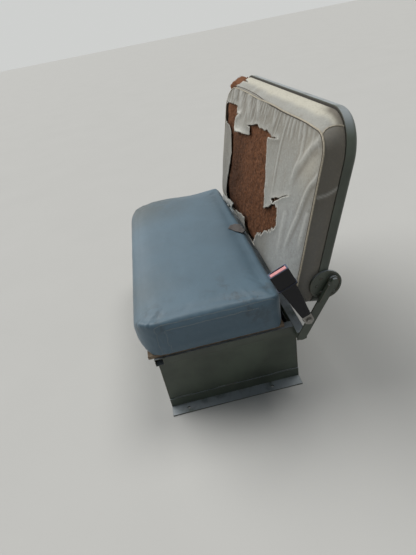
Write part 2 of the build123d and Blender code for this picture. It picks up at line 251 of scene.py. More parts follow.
# Hollows between them, pressed in and darkened with painted shade: width and depth, then the way each one
# runs
DRAWN_HOLLOWS = (
    (16, 1.0, ((-373, 442), (-360, 421), (-344, 396))),
    (18, 1.5, ((-255, 449), (-241, 425), (-224, 398), (-190, 360))),
    (20, 2.0, ((-116, 449), (-106, 423), (-96, 397), (-81, 372))),
    (8, 1.3, ((503, 428), (464, 410), (441, 383), (425, 359), (400, 310))),
    (11, 1.0, ((40, 445), (60, 400))),
)

# Materials by name, and surfaces that later pieces are laid on
looks = {}
made = {}


class Term:
    """A node's output that takes part in arithmetic: each expression adds its Math nodes."""

    def __init__(self, nodes, socket):
        self.nodes = nodes
        self.socket = socket

    def __add__(self, other):
        return self.nodes.maths("ADD", self, other)

    def __radd__(self, other):
        return self.nodes.maths("ADD", other, self)

    def __rsub__(self, other):
        return self.nodes.maths("SUBTRACT", other, self)

    def __mul__(self, other):
        return self.nodes.maths("MULTIPLY", self, other)

    def __rmul__(self, other):
        return self.nodes.maths("MULTIPLY", other, self)

    def kept_in_range(self):
        return self.nodes.maths("ADD", self, 0.0, clamp=True)

    def above(self, start, end):
        """0 below start, 1 above end, and even between them."""
        sockets = {"Value": self, "From Min": start, "From Max": end}
        return self.nodes.node("ShaderNodeMapRange", {"interpolation_type": "SMOOTHSTEP"}, sockets)


class Nodes:
    """A node tree that is built node by node."""

    def __init__(self, tree):
        self.tree = tree
        tree.nodes.clear()

    def node(self, kind, settings=None, sockets=None, output=0):
        """Adds a node: first its settings, then the values or links of its sockets."""
        made = self.tree.nodes.new(kind)
        for name, value in (settings or {}).items():
            if name == "stops":
                self.set_stops(made.color_ramp, value)
            else:
                setattr(made, name, value)
        for name, value in (sockets or {}).items():
            if isinstance(value, Term):
                self.tree.links.new(value.socket, made.inputs[name])
            else:
                made.inputs[name].default_value = value
        return Term(self, made.outputs[output]) if made.outputs else None

    @staticmethod
    def set_stops(ramp, stops):
        while len(ramp.elements) < len(stops):
            ramp.elements.new(0.5)
        for element, (position, colour) in zip(ramp.elements, stops):
            element.position = position
            element.color = (*colour, 1.0)

    def maths(self, operation, first, second=0.0, clamp=False):
        settings = {"operation": operation, "use_clamp": clamp}
        return self.node("ShaderNodeMath", settings, {0: first, 1: second})


class Finish(Nodes):
    """One material."""

    def __init__(self, name):
        self.material = bpy.data.materials.new(name)
        self.material.use_nodes = True
        super().__init__(self.material.node_tree)
        self.place = self.node("ShaderNodeTexCoord", output=3)

    def noise(self, scale, detail=3.0, rough=0.55, stretch=None):
        place = self.place
        if stretch:
            place = self.node("ShaderNodeMapping", {}, {0: place, "Scale": stretch})
        sockets = {"Vector": place, "Scale": scale, "Detail": detail, "Roughness": rough}
        return self.node("ShaderNodeTexNoise", {}, sockets)

    def cells(self, scale):
        return self.node("ShaderNodeTexVoronoi", {"feature": "F1"}, {"Vector": self.place, "Scale": scale})

    def weave(self, scale):
        """The weave of cloth on its flat pattern."""
        cloth = self.node("ShaderNodeUVMap", {"uv_map": "Cloth"})
        warp, weft = (
            self.node("ShaderNodeTexWave", {"wave_type": "BANDS", "bands_direction": direction}, {
                "Vector": cloth, "Scale": scale})
            for direction in ("X", "Y"))
        return warp * weft

    def across(self):
        return self.node("ShaderNodeSeparateXYZ", {}, {0: self.place}, 0)

    def height(self):
        return self.node("ShaderNodeSeparateXYZ", {}, {0: self.place}, 2)

    def facing_up(self):
        """How far the surface faces up on its piece, from -1 to 1."""
        normal = self.node("ShaderNodeTexCoord", output=1)
        return self.node("ShaderNodeSeparateXYZ", {}, {0: normal}, 2)

    def stored(self, name):
        """A number stored on the piece's points."""
        return self.node("ShaderNodeAttribute", {"attribute_name": name}, output=2)

    def near(self, middle, reach):
        """1 at a place on the piece, falling to 0 at the reach."""
        away = self.node("ShaderNodeVectorMath", {"operation": "DISTANCE"}, {0: self.place, 1: middle}, 1)
        return away.above(reach, 0.0)

    def layers(self, tint, layers):
        """Colours laid one after the other over the first, each with the share that it covers."""
        for share, colour in layers:
            first, second = (c if isinstance(c, Term) else (*c, 1.0) for c in (tint, colour))
            tint = self.node("ShaderNodeMix", {"data_type": "RGBA"}, {0: share, 6: first, 7: second}, 2)
        return tint

    def ramp(self, share, stops):
        return self.node("ShaderNodeValToRGB", {"stops": stops}, {0: share})

    def relief(self, *bumps):
        """Bumps over one another, each with its height, its depth and its strength."""
        normal = None
        for height, depth, strength in bumps:
            sockets = {"Height": height, "Distance": depth, "Strength": strength}
            if normal:
                sockets["Normal"] = normal
            normal = self.node("ShaderNodeBump", {}, sockets)
        return normal

    def worn_edge(self, radius):
        """1 on sharp edges and 0 on flats."""
        round_normal = self.node("ShaderNodeBevel", {"samples": 6}, {"Radius": radius})
        true_normal = self.node("ShaderNodeNewGeometry", output=1)
        likeness = self.node(
            "ShaderNodeVectorMath", {"operation": "DOT_PRODUCT"}, {0: round_normal, 1: true_normal}, 1)
        return (1 - likeness).kept_in_range()

    def surface(self, tint, rough, **sockets):
        """Closes the material with a principled shader."""
        values = {"Base Color": tint, "Roughness": rough}
        for name, value in sockets.items():
            values[name.replace("_", " ")] = value
        shader = self.node("ShaderNodeBsdfPrincipled", {}, values)
        self.node("ShaderNodeOutputMaterial", {}, {0: shader})
        return self.material


def shade(colour, *shares, plus=0.0):
    """A colour whose parts are multiplied by one share or by a share each, and not past white."""
    shares = shares * 3 if len(shares) == 1 else shares
    return tuple(min(1.0, part * share + plus) for part, share in zip(colour, shares))


def seat_vinyl(colour):
    """Smooth coated cloth of the cushion: fine grain, soft scuffs, a few stains, and rubbed patches at the
    front darkened as painted shade and a painted dark reflection.
    """
    f = Finish("seat_vinyl")
    broad = f.noise(4.5, 4.0)
    scuffs = f.noise(26.0, 5.0, 0.65, stretch=(1.0, 3.0, 1.0))
    smears = f.noise(9.0, 5.0, 0.6)
    stains = f.noise(17.0, 6.0, 0.7)
    # Rubbed patches at the front: partly wear, and darkened as painted shade and a painted dark reflection.
    rubbed_and_shaded = f.near((-0.44, -0.20, 0.42), 0.34) + f.near((0.30, -0.25, 0.40), 0.22) * 0.5
    handled = f.near((0.44, 0.11, 0.43), 0.16) + f.near((0.46, -0.20, 0.36), 0.15) * 0.9
    handled = handled + f.near((0.05, 0.20, 0.43), 0.13) * 0.5 + 0.10
    tint = f.layers(shade(colour, 0.84), (
        (broad.above(0.3, 0.7), colour),
        (scuffs.above(0.55, 0.80) * 0.35, shade(colour, 1.16, plus=0.010)),
        ((rubbed_and_shaded * smears.above(0.22, 0.52)).kept_in_range() * 0.85, (0.062, 0.080, 0.082)),
        ((handled * stains.above(0.52, 0.64)).kept_in_range() * 0.65, (0.038, 0.044, 0.048)),
    ))
    relief = f.relief(
        (f.cells(620.0) * 0.7 + f.noise(260.0, 4.0, 0.6), 0.00035, 0.6),
        (f.noise(16.0, 3.0, 0.5), 0.004, 0.35))
    rough = 0.36 + 0.14 * broad + 0.10 * scuffs
    return f.surface(
        tint, rough, Normal=relief, Specular_IOR_Level=0.45, Sheen_Weight=0.12, Sheen_Roughness=0.4)


def cover_cloth(name, colour, dirt_and_shade):
    """Coated cloth of the back: a plain weave under a thin, worn coat, with painted shade, highlight,
    reflection and sunlight laid over it.
    """
    f = Finish(name)
    across, height, up = f.across(), f.height(), f.facing_up()
    weave = f.weave(300.0)
    broad = f.noise(7.0, 4.0)
    streaks = f.noise(1.0, 5.0, 0.6, stretch=(13.0, 4.0, 3.0))
    grime = f.noise(15.0, 6.0, 0.65)
    flecks = f.noise(170.0, 3.0, 0.6)
    spots = f.noise(48.0, 5.0, 0.7)
    upright = up.above(0.60, 0.30)
    browned = height.above(0.74, 0.86) * upright
    # Lighter and bluer low on the near side: a painted reflection.
    painted_reflection = across.above(0.26, 0.42) * height.above(0.74, 0.62)
    aged = across.above(0.36, 0.08) * height.above(0.68, 0.80) * upright
    tint = f.layers(colour, (
        (broad.above(0.32, 0.68), shade(colour, 1.16)),
        (streaks.above(0.46, 0.78) * 0.60, dirt_and_shade),
        (grime.above(0.50, 0.72) * 0.35, dirt_and_shade),
        (weave * 0.12, shade(colour, 1.16)),
        (browned * 0.60, shade(colour, 0.86, 0.78, 0.68)),
        (height.above(0.68, 0.52) * 0.45, shade(colour, 0.72, 0.78, 0.86)),
        (painted_reflection * 0.55, shade(colour, 1.25, 1.32, 1.46)),
        (aged * 0.50, shade(colour, 0.66, 0.60, 0.52)),
        # Pale warm patch at the near top corner: painted sunlight.
        (f.near((0.445, 0.305, 0.800), 0.10) * 0.65, (0.47, 0.44, 0.37)),
        (flecks.above(0.46, 0.32) * 0.22, shade(colour, 1.8)),
        # Cream on the upward faces of the band's rear part: painted sunlight.
        (up.above(0.55, 0.95) * f.stored("bleach") * 0.85, (0.57, 0.545, 0.455)),
        # Painted shade on the band's sides.
        (f.stored("side") * 0.80, shade(dirt_and_shade, 0.42)),
        # Painted shade in hollows: beside folds, along the seam and on the band; also darker over the far
        # strip and low on the panel.
        (f.stored("hollow") * 0.70, shade(dirt_and_shade, 0.62)),
        # Painted highlight on fold crests and on the band's side crease.
        (f.stored("crest") * 0.60, (0.52, 0.52, 0.49)),
        (flecks.above(0.50, 0.70) * 0.34, dirt_and_shade),
        (spots.above(0.66, 0.73) * 0.40, dirt_and_shade),
        (f.stored("rim") * 0.85, (0.66, 0.65, 0.60)),
    ))
    relief = f.relief((weave, 0.0003, 0.5), (f.noise(34.0, 5.0, 0.6), 0.0028, 0.55))
    return f.surface(tint, 0.60 + 0.16 * broad, Normal=relief, Sheen_Weight=0.1)


def rubbered_hair(colour):
    """Brown hair bound with rubber: a mat of short strands with darker hollows, painted shadow under the
    torn cover's edges and painted shade towards its far, low side.
    """
    f = Finish("rubbered_hair")
    across, height = f.across(), f.height()
    clumps = f.noise(38.0, 5.0, 0.62)
    strands = f.noise(360.0, 8.0, 0.78, stretch=(1.0, 1.0, 0.45))
    hollows = f.cells(150.0)
    pale_patches = f.noise(5.0, 4.0)
    dark_patches = f.noise(1.9, 5.0, stretch=(4.5, 1.5, 1.2))
    tufts = f.noise(165.0, 3.0, 0.6, stretch=(1.0, 1.0, 0.6))
    dark, light = shade(colour, 0.30), shade(colour, 2.0, plus=0.01)
    stops = ((0.33, dark), (0.47, shade(colour, 0.85)), (0.58, shade(colour, 1.2)), (0.70, light))
    tint = f.layers(f.ramp(strands * 0.62 + clumps * 0.38, stops), (
        (hollows.above(0.45, 0.0) * 0.45, dark),
        # Painted shadow under the torn edges of the cover.
        (f.stored("under") * 0.75, shade(colour, 0.10)),
        (pale_patches.above(0.42, 0.70) * 0.40, light),
        (dark_patches.above(0.45, 0.70) * 0.45, dark),
        (tufts.above(0.52, 0.68) * 0.55, shade(colour, 2.6)),
        (tufts.above(0.46, 0.34) * 0.60, shade(colour, 0.22)),
        # Darker towards the far, low side of the pad: painted shade.
        (across.above(0.10, -0.26) * height.above(0.82, 0.56) * 0.60, shade(colour, 0.28)),
        (height.above(0.68, 0.86) * 0.25, shade(colour, 2.4)),
    ))
    relief = f.relief((strands + hollows * 0.6, 0.0016, 0.9), (clumps, 0.006, 0.6))
    return f.surface(tint, 0.88, Normal=relief, Specular_IOR_Level=0.2)


def worn_paint(colour):
    """Semi-gloss green paint: patchy, dusty on top with a painted sky reflection there, chipped to dull
    steel along its edges.
    """
    f = Finish("worn_paint")
    broad = f.noise(5.0, 4.0)
    fine = f.noise(120.0, 6.0, 0.72)
    edge = f.worn_edge(0.0028)
    pale = shade(colour, 1.45, plus=0.004)
    # Dust on top faces; its pale blue-grey is also a painted reflection of the sky.
    dust = f.facing_up().above(0.45, 0.95) * f.noise(18.0, 5.0, 0.6).above(0.20, 0.56)
    chipped = (edge * 2.4 + fine * 1.1 + broad * 0.3).above(1.16, 1.24)
    pits = f.noise(62.0, 7.0, 0.7).above(0.705, 0.725)
    bare = f.maths("MAXIMUM", chipped, pits)
    rust = f.noise(45.0, 4.0).above(0.42, 0.62)
    tint = f.layers(shade(colour, 0.72), (
        (broad.above(0.30, 0.72), pale),
        (dust * 0.75, (0.34, 0.38, 0.42)),
        ((edge * 2.6 + fine * 0.9).above(0.72, 1.05) * 0.55, pale),
        (bare * 0.85, f.layers((0.055, 0.048, 0.042), [(rust, (0.12, 0.055, 0.028))])),
    ))
    relief = f.relief((f.noise(700.0, 2.0), 0.00025, 0.35), (1 - bare, 0.0002, 0.8))
    return f.surface(tint, 0.29 + 0.16 * broad + 0.20 * bare, Normal=relief, Metallic=bare * 0.35)


def dull_steel():
    """Zinc-coated steel gone dull, with a little rust."""
    f = Finish("dull_steel")
    patches = f.noise(60.0, 5.0, 0.6)
    rust = f.noise(95.0, 6.0, 0.7).above(0.58, 0.66)
    tint = f.layers((0.19, 0.185, 0.17), (
        (patches.above(0.3, 0.7), (0.33, 0.32, 0.30)),
        (rust * 0.7, (0.13, 0.055, 0.025)),
    ))
    relief = f.relief((f.noise(420.0, 3.0), 0.0002, 0.5))
    return f.surface(tint, 0.42 + 0.3 * rust, Metallic=0.85 - 0.6 * rust, Normal=relief)


def black_plastic():
    """Fine-grained black plastic, dusty and a little greyed on its edges, with a painted sky reflection on
    its top faces.
    """
    f = Finish("black_plastic")
    up = f.facing_up()
    dust = up.above(0.2, 1.0) * f.noise(60.0, 5.0).above(0.35, 0.75)
    tint = f.layers((0.0075, 0.0075, 0.0095), (
        ((f.worn_edge(0.0022) * 2.2).kept_in_range() * 0.6, (0.10, 0.11, 0.15)),
        (dust * 0.11, (0.12, 0.12, 0.13)),
        # Blue-grey on faces that look up: a painted sky reflection.
        (up.above(0.80, 0.90) * 0.85, (0.070, 0.090, 0.150)),
    ))
    relief = f.relief((f.cells(1400.0), 0.00025, 0.6))
    return f.surface(tint, 0.42 + 0.12 * f.noise(40.0), Normal=relief, Specular_IOR_Level=0.25)


def button_plastic(colour):
    """Press button, once red, faded pink on its face."""
    f = Finish("button_plastic")
    pale = shade(colour, 1.3, plus=0.06)
    tint = f.layers(colour, (
        (f.noise(70.0, 4.0).above(0.35, 0.7), pale),
        (f.worn_edge(0.0016) * 1.6, pale),
    ))
    relief = f.relief((f.noise(900.0, 2.0), 0.0002, 0.3))
    return f.surface(tint, 0.45 + 0.1 * f.noise(50.0), Normal=relief)


def bare_plywood():
    """Unfinished plywood: long grain with darker rings, and a dark face above about 0.35 m, painted shade
    where the back's board shows in its gap.
    """
    f = Finish("bare_plywood")
    grain = f.noise(3.2, 7.0, 0.62, stretch=(1.6, 26.0, 26.0))
    rings = f.noise(2.4, 3.0, 0.5, stretch=(0.8, 7.0, 7.0))
    stops = ((0.32, (0.09, 0.062, 0.040)), (0.52, (0.19, 0.140, 0.095)), (0.72, (0.29, 0.225, 0.155)))
    tint = f.layers(f.ramp(grain * 0.7 + rings * 0.3, stops), (
        # Nearly black higher up: painted shade for the back's board, whose edge shows in a shaded gap.
        (f.height().above(0.34, 0.37) * 0.92, (0.018, 0.017, 0.015)),
    ))
    return f.surface(tint, 0.72 + 0.12 * rings, Normal=f.relief((grain, 0.0005, 0.6)))


def black_rubber():
    """Matt black rubber, a little greyed in patches."""
    f = Finish("black_rubber")
    patches = f.noise(90.0, 4.0).above(0.4, 0.7)
    tint = f.layers((0.018, 0.018, 0.018), [(patches, (0.05, 0.048, 0.045))])
    relief = f.relief((f.noise(600.0, 3.0), 0.0003, 0.5))
    return f.surface(tint, 0.75 + 0.1 * f.noise(70.0), Normal=relief)


def pale_thread(colour):
    """Thread or cord of one colour, darker in specks; the dark one is a painted shadow along a seam."""
    f = Finish("pale_thread")
    tint = f.layers(colour, [(f.noise(220.0, 3.0).above(0.35, 0.7), shade(colour, 0.7))])
    return f.surface(tint, 0.8 + 0.1 * f.noise(300.0))


def on_back(across, up, out):
    """Points of the row frame from places on the back's plane."""
    across, up, out = (np.asarray(v, float)[..., None] for v in (across, up, out))
    return SEAM_MIDDLE + across * ACROSS + up * UP + out * OUT


def off_back(points):
    """How far across, up and out of the back's plane points of the row frame are."""
    rel = points - SEAM_MIDDLE
    return rel @ ACROSS, rel @ UP, rel @ OUT


def from_table(table, at):
    """What a table in millimetres says at places in metres, in metres."""
    return np.interp(at / MM, *zip(*table)) * MM


def bell(gap, width):
    """1 where the gap is 0, falling to almost nothing at twice the width."""
    return np.exp(-(gap / width) ** 2)


def far_lift(across, up):
    """How far forward the cover has come at its far edge."""
    return from_table(FAR_LIFT, up) * smooth(-across, 0.34, 0.50)


def crown(across, up):
    """How far the pad's front stands out of the seam's plane."""
    side = 1 - np.clip(np.abs(across) / COVER_HALF, 0, 1) ** 6
    over = np.clip((up - BELLY_UP) / (COVER_TOP - BELLY_UP), 0, 1) ** 1.6
    under = np.clip((BELLY_UP - up) / (BELLY_UP - COVER_LOW), 0, 1) ** 3
    return BELLY_OUT * side * (1 - over - under) + far_lift(across, up)


def smooth(value, start, end):
    """0 below start, 1 above end, and an even rise between them."""
    share = np.clip((value - start) / (end - start), 0, 1)
    return share * share * (3 - 2 * share)


def ripple(points, scale, seed=0.0):
    """Smooth noise from -1 to 1 at each point."""
    return np.array([noise.noise(Vector((p[0] * scale, p[1] * scale, seed))) for p in points])


def nearest_on_path(points, path):
    """Distance of each point from a path, and how far along it that is, from 0 to 1."""
    path = np.asarray(path, float)
    spans = path[1:] - path[:-1]
    lengths = np.linalg.norm(spans, axis=1)
    starts = np.concatenate(([0.0], np.cumsum(lengths)))
    best = np.full(len(points), 1e9)
    along = np.zeros(len(points))
    for start, span, length, done in zip(path, spans, lengths, starts):
        share = np.clip(((points - start) @ span) / max(length * length, 1e-12), 0, 1)
        gap = np.linalg.norm(points - start - share[:, None] * span, axis=1)
        closer = gap < best
        best[closer] = gap[closer]
        along[closer] = (done + share[closer] * length) / starts[-1]
    return best, along


def nearest_gap(points, targets):
    """Distance of each flat point from the nearest of the targets."""
    tree = KDTree(len(targets))
    for i, target in enumerate(targets):
        tree.insert((*target, 0.0), i)
    tree.balance()
    return np.array([tree.find((*p, 0.0))[2] for p in points])


def distance_from(points, loop):
    """Distance of each point from a closed loop."""
    return nearest_gap(points, spaced_loop(loop, 0.0008))


def ragged(loop, size, seed):
    """The loop with the small nicks that torn cloth has."""
    points = np.array(spaced_loop(loop, 0.0035))
    fine = np.column_stack([ripple(points, 175.0, seed + turn) for turn in (0.0, 5.0)])
    broad = np.column_stack([ripple(points, 60.0, seed + turn) for turn in (9.0, 14.0)])
    return [tuple(p) for p in points + size * (fine + 0.8 * broad)]


def inside(points, loop):
    """Whether each point lies within a closed loop."""
    found = np.zeros(len(points), bool)
    loop = np.asarray(loop, float)
    for (x0, y0), (x1, y1) in zip(loop, np.roll(loop, -1, axis=0)):
        if y0 == y1:
            continue
        crosses = (y0 > points[:, 1]) != (y1 > points[:, 1])
        found ^= crosses & (points[:, 0] < x0 + (points[:, 1] - y0) * (x1 - x0) / (y1 - y0))
    return found


def spaced_loop(loop, pitch):
    """The loop's corners, and points between them no further apart than pitch."""
    loop = [tuple(p) for p in loop]
    out = []
    for start, end in zip(loop, loop[1:] + loop[:1]):
        steps = max(1, math.ceil(math.dist(start, end) / pitch))
        out += [(start[0] + (end[0] - start[0]) * i / steps, start[1] + (end[1] - start[1]) * i / steps)
                for i in range(steps)]
    return out


def cut_cloth(outline, tears, pitch):
    """Flat cloth within an outline and outside its tears: its points and its triangles."""
    def wanted(places):
        return inside(places, outline) & ~np.any([inside(places, tear) for tear in tears], axis=0)

    rims, edges = [], []
    for loop in (outline, *tears):
        loop = spaced_loop(loop, pitch)
        first = len(rims)
        rims += loop
        edges += [(first + i, first + (i + 1) % len(loop)) for i in range(len(loop))]
    low, high = np.min(outline, axis=0), np.max(outline, axis=0)
    columns, rows = (np.arange(low[i] + pitch / 2, high[i], pitch) for i in (0, 1))
    grid = np.array([(x, y) for y in rows for x in columns])
    grid = grid[wanted(grid)]
    clear = grid[nearest_gap(grid, rims) > 0.6 * pitch]
    flat = [Vector(p) for p in (*rims, *clear)]
    points, _, faces, *_ = delaunay_2d_cdt(flat, edges, [], 0, 1e-7)
    points, faces = np.array(points), np.array(faces)
    faces = faces[wanted(points[faces].mean(axis=1))]
    used = np.unique(faces)
    new_number = np.full(len(points), -1)
    new_number[used] = np.arange(len(used))
    return points[used], new_number[faces]


def flat_area(flat, faces):
    """Area of flat cloth, from its triangles."""
    corners = flat[faces]
    first, second = corners[:, 1] - corners[:, 0], corners[:, 2] - corners[:, 0]
    return float(np.abs(first[:, 0] * second[:, 1] - first[:, 1] * second[:, 0]).sum() / 2)


def kept_runs(points, kept):
    """The unbroken stretches of kept points that have more than three of them."""
    ends = np.flatnonzero(np.diff(np.concatenate(([False], kept, [False])).astype(int)))
    return [points[first:last] for first, last in zip(ends[::2], ends[1::2]) if last - first > 3]


def linked(name, data):
    """A new object of the scene."""
    item = bpy.data.objects.new(name, data)
    bpy.context.scene.collection.objects.link(item)
    return item


def add_piece(name, points, faces, look):
    """A mesh object whose place is in its points."""
    mesh = bpy.data.meshes.new(name)
    mesh.from_pydata([tuple(p) for p in points], [], [tuple(int(i) for i in face) for face in faces])
    mesh.materials.append(looks[look])
    return linked(name, mesh)


def keep_flat_place(piece, flat):
    """Stores where each point lay on the flat cloth, as the piece's own map."""
    layer = piece.data.uv_layers.new(name="Cloth")
    order = np.zeros(len(piece.data.loops), int)
    piece.data.loops.foreach_get("vertex_index", order)
    layer.data.foreach_set("uv", np.asarray(flat, np.float32)[order].ravel())


def places_of(piece):
    """Where the piece's points are."""
    points = np.zeros(len(piece.data.vertices) * 3)
    piece.data.vertices.foreach_get("co", points)
    return points.reshape(-1, 3)


def set_places(piece, points):
    piece.data.vertices.foreach_set("co", np.asarray(points, np.float32).ravel())
    piece.data.update()


def normals_of(piece):
    """Which way the piece's surface faces at each point."""
    normals = np.zeros(len(piece.data.vertices) * 3, np.float32)
    piece.data.vertex_normals.foreach_get("vector", normals)
    return normals.reshape(-1, 3).astype(float)


def plain_mesh(piece):
    """The mesh that the piece's modifiers make."""
    graph = bpy.context.evaluated_depsgraph_get()
    return bpy.data.meshes.new_from_object(piece.evaluated_get(graph), depsgraph=graph)


def settled(piece):
    """Turns the piece's modifiers into its plain mesh."""
    mesh = plain_mesh(piece)
    piece.modifiers.clear()
    piece.data = mesh


def merge_doubles(piece):
    """Joins the points that lie at one place."""
    work = bmesh.new()
    work.from_mesh(piece.data)
    bmesh.ops.remove_doubles(work, verts=work.verts, dist=1e-5)
    work.to_mesh(piece.data)
    work.free()


def smooth_shaded(piece):
    piece.data.polygons.foreach_set("use_smooth", [True] * len(piece.data.polygons))
    piece.data.update()


def sewn(name, points, faces, flat, look, thickness=CLOTH_THICKNESS, closed=False, **numbers):
    """Cloth of some thickness, which keeps its flat pattern and numbers for its finish."""
    piece = add_piece(name, points, faces, look)
    keep_flat_place(piece, flat)
    store(piece, **numbers)
    if closed:
        merge_doubles(piece)
    solid = piece.modifiers.new("Thickness", "SOLIDIFY")
    solid.thickness = thickness
    solid.offset = -1
    settled(piece)
    smooth_shaded(piece)
    return piece


def soft_copy(node, name, look):
    """A copy of a CAD solid, drawn in a little and meshed evenly for the cloth simulation."""
    piece = linked(name, nodes[node].data.copy())
    merge_doubles(piece)
    remesh = piece.modifiers.new("Even mesh", "REMESH")
    remesh.mode = "VOXEL"
    remesh.voxel_size = SOFT_MESH
    settled(piece)
    piece.data.materials.clear()
    piece.data.materials.append(looks[look])
    set_places(piece, places_of(piece) - SOFT_SHRINK * normals_of(piece))
    return piece


def swollen_by_cloth(piece, pressure, held):
    """Places of the piece's points after a short cloth simulation under pressure from inside."""
    scene = bpy.context.scene
    group = piece.vertex_groups.new(name="held")
    group.add([int(i) for i in np.flatnonzero(held)], 1.0, "ADD")
    cloth = piece.modifiers.new("Cloth", "CLOTH")
    cloth.settings.use_pressure = True
    cloth.settings.uniform_pressure_force = pressure
    cloth.settings.effector_weights.gravity = 0
    cloth.settings.vertex_group_mass = group.name
    cloth.settings.quality = 4
    cloth.collision_settings.use_collision = False
    for step in range(1, SWELL_FRAMES + 1):
        scene.frame_set(step)
    after = places_of(piece.evaluated_get(bpy.context.evaluated_depsgraph_get()))
    piece.modifiers.clear()
    piece.vertex_groups.clear()
    scene.frame_set(1)
    return after


def inflate(piece, pressure, held, most):
    """Lets the piece swell as a filled cover does. Held points stay, and none moves further than most."""
    before, normals = places_of(piece), normals_of(piece)
    moved = swollen_by_cloth(piece, pressure, held) - before
    outward = (moved * normals).sum(axis=1)
    moved += normals * np.maximum(-outward, 0)[:, None]
    far = np.linalg.norm(moved, axis=1)
    moved *= np.minimum(1.0, most / np.maximum(far, 1e-9))[:, None]
    if np.abs(moved).max() < 1e-5:
        raise RuntimeError(f"{piece.name} didn't swell")
    set_places(piece, before + moved)
    finer = piece.modifiers.new("Finer", "SUBSURF")
    finer.levels = finer.render_levels = 1
    settled(piece)


def surface_of(piece):
    """The piece's surface, for rays to meet."""
    graph = bpy.context.evaluated_depsgraph_get()
    return BVHTree.FromObject(piece, graph)


class Layout(Nodes):
    """A Geometry Nodes tree with named inputs, each with its usual value."""

    def __init__(self, name, **inputs):
        super().__init__(bpy.data.node_groups.new(name, "GeometryNodeTree"))
        self.add_input("Geometry", "NodeSocketGeometry")
        for label, value in inputs.items():
            kind = "NodeSocketInt" if isinstance(value, int) else "NodeSocketFloat"
            self.add_input(label, kind).default_value = value
        self.add_input("Material", "NodeSocketMaterial")
        self.tree.interface.new_socket("Geometry", in_out="OUTPUT", socket_type="NodeSocketGeometry")
        outputs = self.tree.nodes.new("NodeGroupInput").outputs
        self.given = {socket.name: Term(self, socket) for socket in outputs}

    def add_input(self, label, kind):
        return self.tree.interface.new_socket(label, in_out="INPUT", socket_type=kind)

    def path(self):
        """The curve along the source's edges."""
        return self.node("GeometryNodeMeshToCurve", {}, {0: self.given["Geometry"]})

    def steps(self):
        """Points along the source's edges, one pitch apart."""
        sockets = {"Curve": self.path(), "Length": self.given["Pitch"]}
        return self.node("GeometryNodeResampleCurve", {"mode": "LENGTH"}, sockets)

    def stored(self, name, kind):
        return self.node("GeometryNodeInputNamedAttribute", {"data_type": kind}, {"Name": name})

    def facing(self, way):
        """A turn that brings Z to face a way."""
        return self.node("FunctionNodeAlignRotationToVector", {"axis": "Z"}, {"Vector": way})

    def vector(self, across, along, up):
        return self.node("ShaderNodeCombineXYZ", {}, {0: across, 1: along, 2: up})

    def ball(self, segments, rings, radius):
        sockets = {"Segments": segments, "Rings": rings, "Radius": radius}
        return self.node("GeometryNodeMeshUVSphere", {}, sockets)

    def cylinder(self, sides, radius, height):
        sockets = {"Vertices": sides, "Radius": radius, "Depth": height}
        return self.node("GeometryNodeMeshCylinder", {}, sockets)

    def rod(self, path, sides, radius, capped=False):
        """A rod of even thickness along a curve."""
        ring = self.node("GeometryNodeCurvePrimitiveCircle", {}, {0: sides, "Radius": radius})
        sockets = {"Curve": path, "Profile Curve": ring, "Fill Caps": capped}
        return self.node("GeometryNodeCurveToMesh", {}, sockets)

    def lifted(self, piece, height, size=(1.0, 1.0, 1.0)):
        sockets = {"Geometry": piece, "Translation": self.vector(0.0, 0.0, height), "Scale": size}
        return self.node("GeometryNodeTransform", {}, sockets)

    def joined(self, *pieces):
        whole = self.node("GeometryNodeJoinGeometry")
        for piece in pieces:
            self.tree.links.new(piece.socket, whole.socket.node.inputs[0])
        return whole

    def on_points(self, points, piece, **sockets):
        """Ends the tree with the piece repeated on points."""
        sockets = {"Points": points, "Instance": piece, **sockets}
        return self.close(self.node("GeometryNodeInstanceOnPoints", {}, sockets))

    def strands_on_points(self, points, smallest, largest, size_seed, turn_seed):
        """Ends the tree with curled three-sided strands, sized and turned at random."""
        arc = self.node("GeometryNodeCurveArc", {"mode": "RADIUS"}, {
            "Resolution": 5, "Radius": self.given["Length"] * 0.55, "Sweep Angle": 2.1})
        sockets = {2: smallest, 3: largest, "Seed": size_seed}
        scale = self.node("FunctionNodeRandomValue", {"data_type": "FLOAT"}, sockets, 1)
        sockets = {"Min": (-math.pi,) * 3, "Max": (math.pi,) * 3, "Seed": turn_seed}
        angles = self.node("FunctionNodeRandomValue", {"data_type": "FLOAT_VECTOR"}, sockets)
        turn = self.node("FunctionNodeEulerToRotation", {}, {0: angles})
        return self.on_points(points, self.rod(arc, 3, self.given["Radius"]), Rotation=turn, Scale=scale)

    def close(self, geometry):
        """Realizes what was repeated, gives it its material and ends the tree."""
        real = self.node("GeometryNodeRealizeInstances", {}, {0: geometry})
        soft = self.node("GeometryNodeSetShadeSmooth", {}, {0: real})
        dressed = self.node("GeometryNodeSetMaterial", {}, {0: soft, "Material": self.given["Material"]})
        self.node("NodeGroupOutput", {}, {0: dressed})
        return self.tree


@cache
def cord_layout():
    """A round cord along a path."""
    t = Layout("Cord along a path", Radius=0.0022, Sides=8)
    return t.close(t.rod(t.path(), t.given["Sides"], t.given["Radius"], capped=True))


@cache
def beads_layout():
    """Long beads laid along a path: stitches, or the ripples of a weld."""
    t = Layout("Beads along a path", Pitch=0.0052, Length=0.0036, Width=0.0009)
    size = t.vector(t.given["Width"], t.given["Width"], t.given["Length"])
    along = t.node("GeometryNodeInputTangent")
    return t.on_points(t.steps(), t.ball(6, 5, 0.5), Rotation=t.facing(along), Scale=size)


